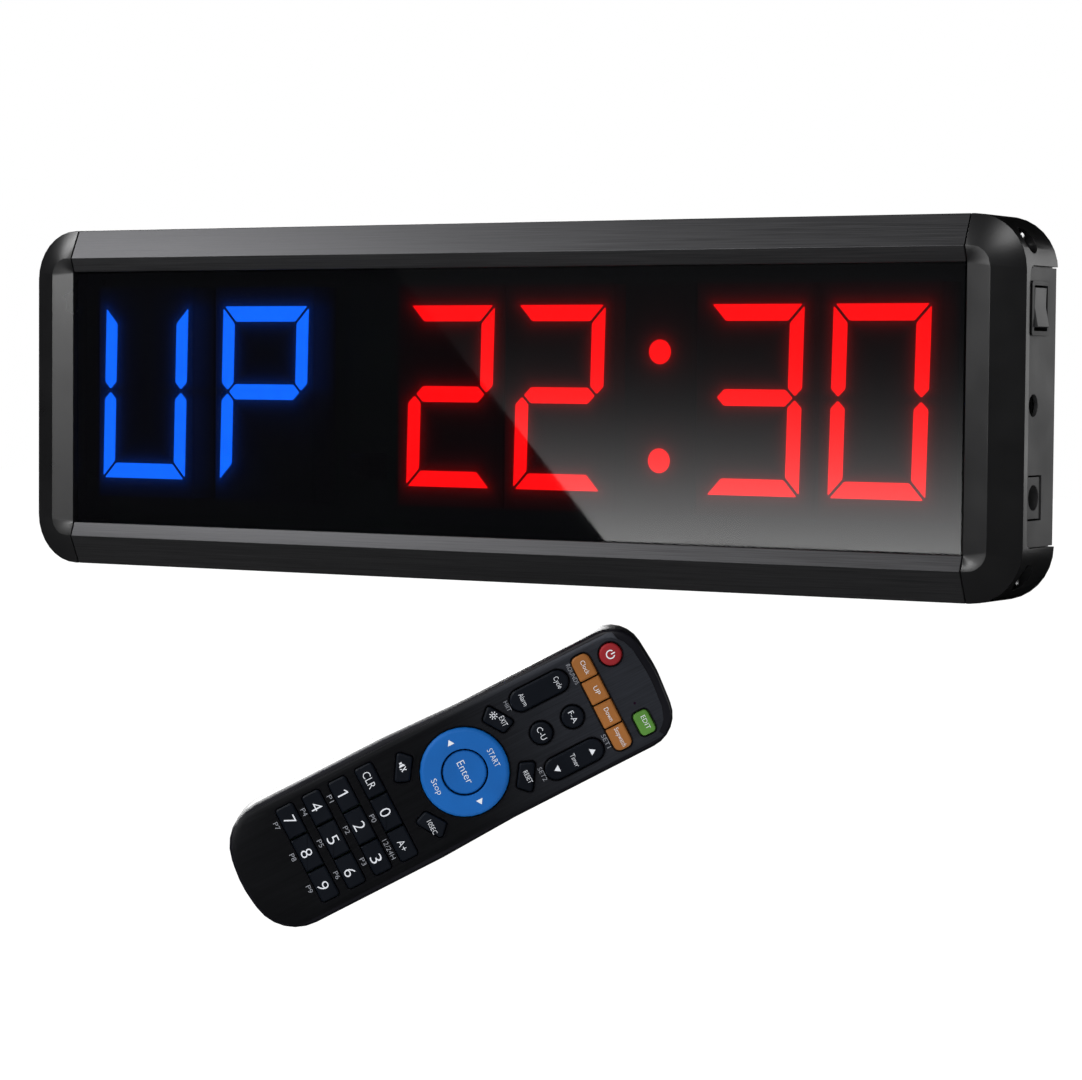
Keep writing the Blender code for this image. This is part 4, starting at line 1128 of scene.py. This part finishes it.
class ROUNDTIMER_OT_legends(bpy.types.Operator):
    """Print the words and signs on the keys and the faceplate"""

    bl_idname = "roundtimer.legends"
    bl_label = "Legends"

    def execute(self, context):
        """Each key's print rides on that key, and the faceplate's on the remote."""
        ink = context.scene.timer_legends
        remote = context.scene.timer_remote
        prints = {}
        for key, words, x, y, height, width in KEY_WORDS:
            bm = prints.setdefault(key, bmesh.new())
            top = remote_box(key)[1].z
            add_words(bm, words, x * MM, y * MM, height * MM, width * MM, top, ink)
        self.add_signs(prints, ink)
        for key, bm in prints.items():
            bmesh.ops.transform(bm, matrix=REMOTE, verts=bm.verts)
            shown(bm, key + "_legend", frame["nodes"][key]["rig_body"], "key ink")
        face = bmesh.new()
        top = remote_box("remote_top_shell")[1].z + CLEAR + remote.plate_thickness
        for words, x, y, height, width in PLATE_WORDS:
            add_words(face, words, x * MM, y * MM, height * MM, width * MM, top, ink)
        bmesh.ops.transform(face, matrix=REMOTE, verts=face.verts)
        shown(face, "faceplate_legends", "remote", "plate ink")
        return {"FINISHED"}

    def add_signs(self, prints, ink):
        """Adds the power sign, the arrows, the brightness sun and the crossed speaker."""
        for key, sign in (
            ("key_power", self.power_sign),
            ("key_timer_set", self.up_and_down),
            ("key_ring", self.left_and_right),
            ("key_brightness", self.sun),
            ("key_mute", self.crossed_speaker),
            ("key_1", self.one),
        ):
            flat = bmesh.new()
            sign(flat)
            top = remote_box(key)[1].z
            bmesh.ops.translate(flat, verts=flat.verts, vec=(0, 0, top))
            thickened(flat, list(flat.faces), ink.thickness)
            joined = bpy.data.meshes.new("sign")
            flat.to_mesh(joined)
            flat.free()
            prints.setdefault(key, bmesh.new()).from_mesh(joined)
            bpy.data.meshes.remove(joined)

    @staticmethod
    def triangle(bm, x, y, turn):
        """A small solid arrowhead that points along `turn`."""
        made = bmesh.ops.create_circle(bm, cap_ends=True, radius=1.0 * MM, segments=3)["verts"]
        bmesh.ops.scale(bm, verts=made, vec=(1, 0.9, 1))
        pose = Matrix.Translation((x, y, 0)) @ Matrix.Rotation(turn, 4, "Z")
        bmesh.ops.transform(bm, matrix=pose, verts=made)

    def power_sign(self, bm):
        """An open ring with a bar at the top."""
        low, high = remote_box("key_power")
        x, y = (low.x + high.x) / 2, (low.y + high.y) / 2
        arc(bm, (x, y), 0.85 * MM, 1.12 * MM, math.radians(125), math.radians(290), 24)
        bar = [(x - 0.14 * MM, y + 0.15 * MM), (x + 0.14 * MM, y + 0.15 * MM)]
        bar += [(x + 0.14 * MM, y + 1.2 * MM), (x - 0.14 * MM, y + 1.2 * MM)]
        bm.faces.new([bm.verts.new((*corner, 0)) for corner in bar])

    def up_and_down(self, bm):
        """Arrowheads at both ends of the right rocker."""
        self.triangle(bm, 9.6 * MM, 34.1 * MM, 0)
        self.triangle(bm, 9.6 * MM, 24.7 * MM, math.pi)

    def left_and_right(self, bm):
        """Arrowheads at both sides of the ring."""
        self.triangle(bm, -7.9 * MM, 4.4 * MM, math.pi / 2)
        self.triangle(bm, 7.9 * MM, 4.4 * MM, -math.pi / 2)

    def sun(self, bm):
        """A ring with eight rays."""
        x, y = -9.1 * MM, 16.8 * MM
        arc(bm, (x, y), 0.3 * MM, 0.48 * MM, 0, 2 * math.pi, 16)
        for ray in range(8):
            angle = math.radians(45 * ray)
            arc(bm, (x, y), 0.62 * MM, 1.0 * MM, angle - 0.12, 0.24, 1)

    @staticmethod
    def outlines(bm, x, y, shapes):
        """Adds flat polygons whose corners are given in millimetres from (x, y)."""
        for shape in shapes:
            bm.faces.new([bm.verts.new((x + a * MM, y + b * MM, 0)) for a, b in shape])

    def crossed_speaker(self, bm):
        """A speaker's box and open horn with a slash across."""
        body = ((-1.15, -0.35), (-0.75, -0.35), (-0.75, 0.35), (-1.15, 0.35))
        horn = ((-0.6, -0.4), (-0.05, -0.85), (-0.05, 0.85), (-0.6, 0.4))
        falling = ((0.2, 0.72), (0.95, -0.72), (1.15, -0.6), (0.4, 0.84))
        rising = ((0.2, -0.72), (0.4, -0.84), (0.64, -0.38), (0.46, -0.24))
        falling_end = ((0.72, 0.24), (0.9, 0.1), (1.15, 0.6), (0.95, 0.72))
        shapes = (body, horn, falling, rising, falling_end)
        self.outlines(bm, -8.1 * MM, -8.6 * MM, shapes)

    def one(self, bm):
        """The figure one with its flag, which the type lacks."""
        stem = ((0.1, -1.37), (0.45, -1.37), (0.45, 1.37), (0.1, 1.37))
        flag = ((-0.6, 0.55), (-0.6, 0.88), (0.08, 1.37), (0.08, 1.0))
        self.outlines(bm, -8.95 * MM, -24.5 * MM, (stem, flag))


class ROUNDTIMER_OT_stage(bpy.types.Operator):
    """Set the camera, the pale floor and the studio lights"""

    bl_idname = "roundtimer.stage"
    bl_label = "Stage"

    def execute(self, context):
        """A white studio with soft boxes; the timer hangs well above the floor."""
        stage = context.scene.timer_stage
        self.add_camera(stage)
        self.add_floor(stage)
        self.add_world(context.scene)
        self.add_glare_card()
        for name, place, aim, size, power in SOFTBOXES:
            self.add_light(name, place, aim, size, power)
        context.scene.view_settings.view_transform = "Standard"
        return {"FINISHED"}

    @staticmethod
    def add_camera(stage):
        """The camera's directions follow from its yaw, pitch and roll."""
        level, tilt = math.cos(stage.pitch), math.sin(stage.pitch)
        forward = Vector((-math.sin(stage.yaw) * level, math.cos(stage.yaw) * level, -tilt))
        right = Vector((math.cos(stage.yaw), math.sin(stage.yaw), 0))
        up = right.cross(forward)
        leaning_right = math.cos(stage.roll) * right + math.sin(stage.roll) * up
        leaning_up = math.cos(stage.roll) * up - math.sin(stage.roll) * right
        camera = bpy.data.objects.new("camera", bpy.data.cameras.new("camera"))
        camera.data.lens = stage.lens
        camera.data.sensor_width = 36
        camera.data.sensor_fit = "HORIZONTAL"
        camera.data.clip_end = 50
        turn = Matrix((leaning_right, leaning_up, -forward)).transposed().to_4x4()
        camera.matrix_world = Matrix.Translation(stage.camera_place) @ turn
        bpy.context.scene.collection.objects.link(camera)
        bpy.context.scene.camera = camera

    @staticmethod
    def add_floor(stage):
        """A plain pale floor."""
        bm = bmesh.new()
        bmesh.ops.create_grid(bm, x_segments=1, y_segments=1, size=15)
        bmesh.ops.translate(bm, verts=bm.verts, vec=(0, 0, stage.floor_height))
        mesh = bpy.data.meshes.new("floor")
        bm.to_mesh(mesh)
        bm.free()
        paper, shader = surface("pale floor", (0.93, 0.93, 0.93), 0.9)
        shader.inputs["Emission Color"].default_value = (1.0, 1.0, 1.0, 1.0)
        shader.inputs["Emission Strength"].default_value = 0.2
        cloud = grain(paper, (0.4, 0.4, 0.4), 1.0)
        tinted(paper, shader, cloud, (0.92, 0.92, 0.92), (0.94, 0.94, 0.94))
        mesh.materials.append(paper)
        floor = bpy.data.objects.new("floor", mesh)
        floor.visible_glossy = False
        bpy.context.scene.collection.objects.link(floor)

    @staticmethod
    def add_world(scene):
        """White all round, kept out of the glossy reflections as a dark studio would."""
        world = bpy.data.worlds.new("studio")
        world.use_nodes = True
        world.node_tree.nodes["Background"].inputs["Color"].default_value = (1, 1, 1, 1)
        world.node_tree.nodes["Background"].inputs["Strength"].default_value = 1.0
        scene.world = world
        world.cycles_visibility.glossy = False

    @staticmethod
    def add_glare_card():
        """A bright card with a slanted edge, seen only as the glare across the lens."""
        bm = bmesh.new()
        bm.faces.new([bm.verts.new(corner) for corner in GLARE_CARD])
        bmesh.ops.recalc_face_normals(bm, faces=bm.faces)
        mesh = bpy.data.meshes.new("glare card")
        bm.to_mesh(mesh)
        bm.free()
        glow, shader = surface("glare card", (0.0, 0.0, 0.0), 1.0)
        shader.inputs["Emission Color"].default_value = (1.0, 1.0, 1.0, 1.0)
        nodes, links = glow.node_tree.nodes, glow.node_tree.links
        place = nodes.new("ShaderNodeTexCoord")
        parts = nodes.new("ShaderNodeSeparateXYZ")
        down = nodes.new("ShaderNodeMapRange")
        down.inputs["From Min"].default_value = GLARE_CARD[3][2]
        down.inputs["From Max"].default_value = GLARE_CARD[1][2]
        fade = nodes.new("ShaderNodeMath")
        fade.operation = "POWER"
        fade.inputs[1].default_value = GLARE_RISE
        power = nodes.new("ShaderNodeMath")
        power.operation = "MULTIPLY_ADD"
        power.inputs[1].default_value = GLARE_FOOT
        power.inputs[2].default_value = GLARE_TOP
        links.new(place.outputs["Object"], parts.inputs["Vector"])
        links.new(parts.outputs["Z"], down.inputs["Value"])
        links.new(down.outputs["Result"], fade.inputs[0])
        links.new(fade.outputs["Value"], power.inputs[0])
        links.new(power.outputs["Value"], shader.inputs["Emission Strength"])
        mesh.materials.append(glow)
        card = bpy.data.objects.new("glare card", mesh)
        card.visible_camera = False
        card.visible_diffuse = False
        card.visible_shadow = False
        bpy.context.scene.collection.objects.link(card)

    @staticmethod
    def add_light(name, place, aim, size, power):
        """A soft box at `place` that faces `aim`."""
        light = bpy.data.lights.new(name, "AREA")
        light.shape = "RECTANGLE"
        light.size, light.size_y = size
        light.energy = power
        holder = bpy.data.objects.new(name, light)
        turn = (Vector(aim) - Vector(place)).to_track_quat("-Z", "Y").to_matrix().to_4x4()
        holder.matrix_world = Matrix.Translation(place) @ turn
        bpy.context.scene.collection.objects.link(holder)


SETTINGS = {
    "timer_surfaces": TimerSurfaces,
    "timer_display": DisplaySettings,
    "timer_remote": RemoteSurfaces,
    "timer_legends": LegendSettings,
    "timer_stage": StageSettings,
}

OPERATORS = (
    ROUNDTIMER_OT_finishes,
    ROUNDTIMER_OT_housing,
    ROUNDTIMER_OT_lens,
    ROUNDTIMER_OT_digits,
    ROUNDTIMER_OT_colon,
    ROUNDTIMER_OT_inside,
    ROUNDTIMER_OT_ports,
    ROUNDTIMER_OT_hangers,
    ROUNDTIMER_OT_remote,
    ROUNDTIMER_OT_faceplate,
    ROUNDTIMER_OT_keys,
    ROUNDTIMER_OT_legends,
    ROUNDTIMER_OT_stage,
)


class ROUNDTIMER_PT_panel(bpy.types.Panel):
    """The timer's settings and the steps that make it"""

    bl_idname = "ROUNDTIMER_PT_panel"
    bl_label = "Round Timer"
    bl_space_type = "VIEW_3D"
    bl_region_type = "UI"
    bl_category = "Round Timer"

    def draw(self, context):
        """Lists the settings of each group, then the operators."""
        for name, group in SETTINGS.items():
            box = self.layout.box()
            for setting in group.__annotations__:
                box.prop(getattr(context.scene, name), setting)
        for operator in OPERATORS:
            self.layout.operator(operator.bl_idname)


CLASSES = (*SETTINGS.values(), *OPERATORS, ROUNDTIMER_PT_panel)


def register():
    """Registers the classes and hangs the settings on the scene."""
    for cls in CLASSES:
        bpy.utils.register_class(cls)
    for name, group in SETTINGS.items():
        setattr(bpy.types.Scene, name, bpy.props.PointerProperty(type=group))


def unregister():
    """Takes the settings and the classes away again."""
    for name in SETTINGS:
        delattr(bpy.types.Scene, name)
    for cls in reversed(CLASSES):
        bpy.utils.unregister_class(cls)


def main():
    """Makes every piece in order."""
    register()
    for operator in OPERATORS:
        group, step = operator.bl_idname.split(".")
        getattr(getattr(bpy.ops, group), step)()


if __name__ == "__main__":
    main()
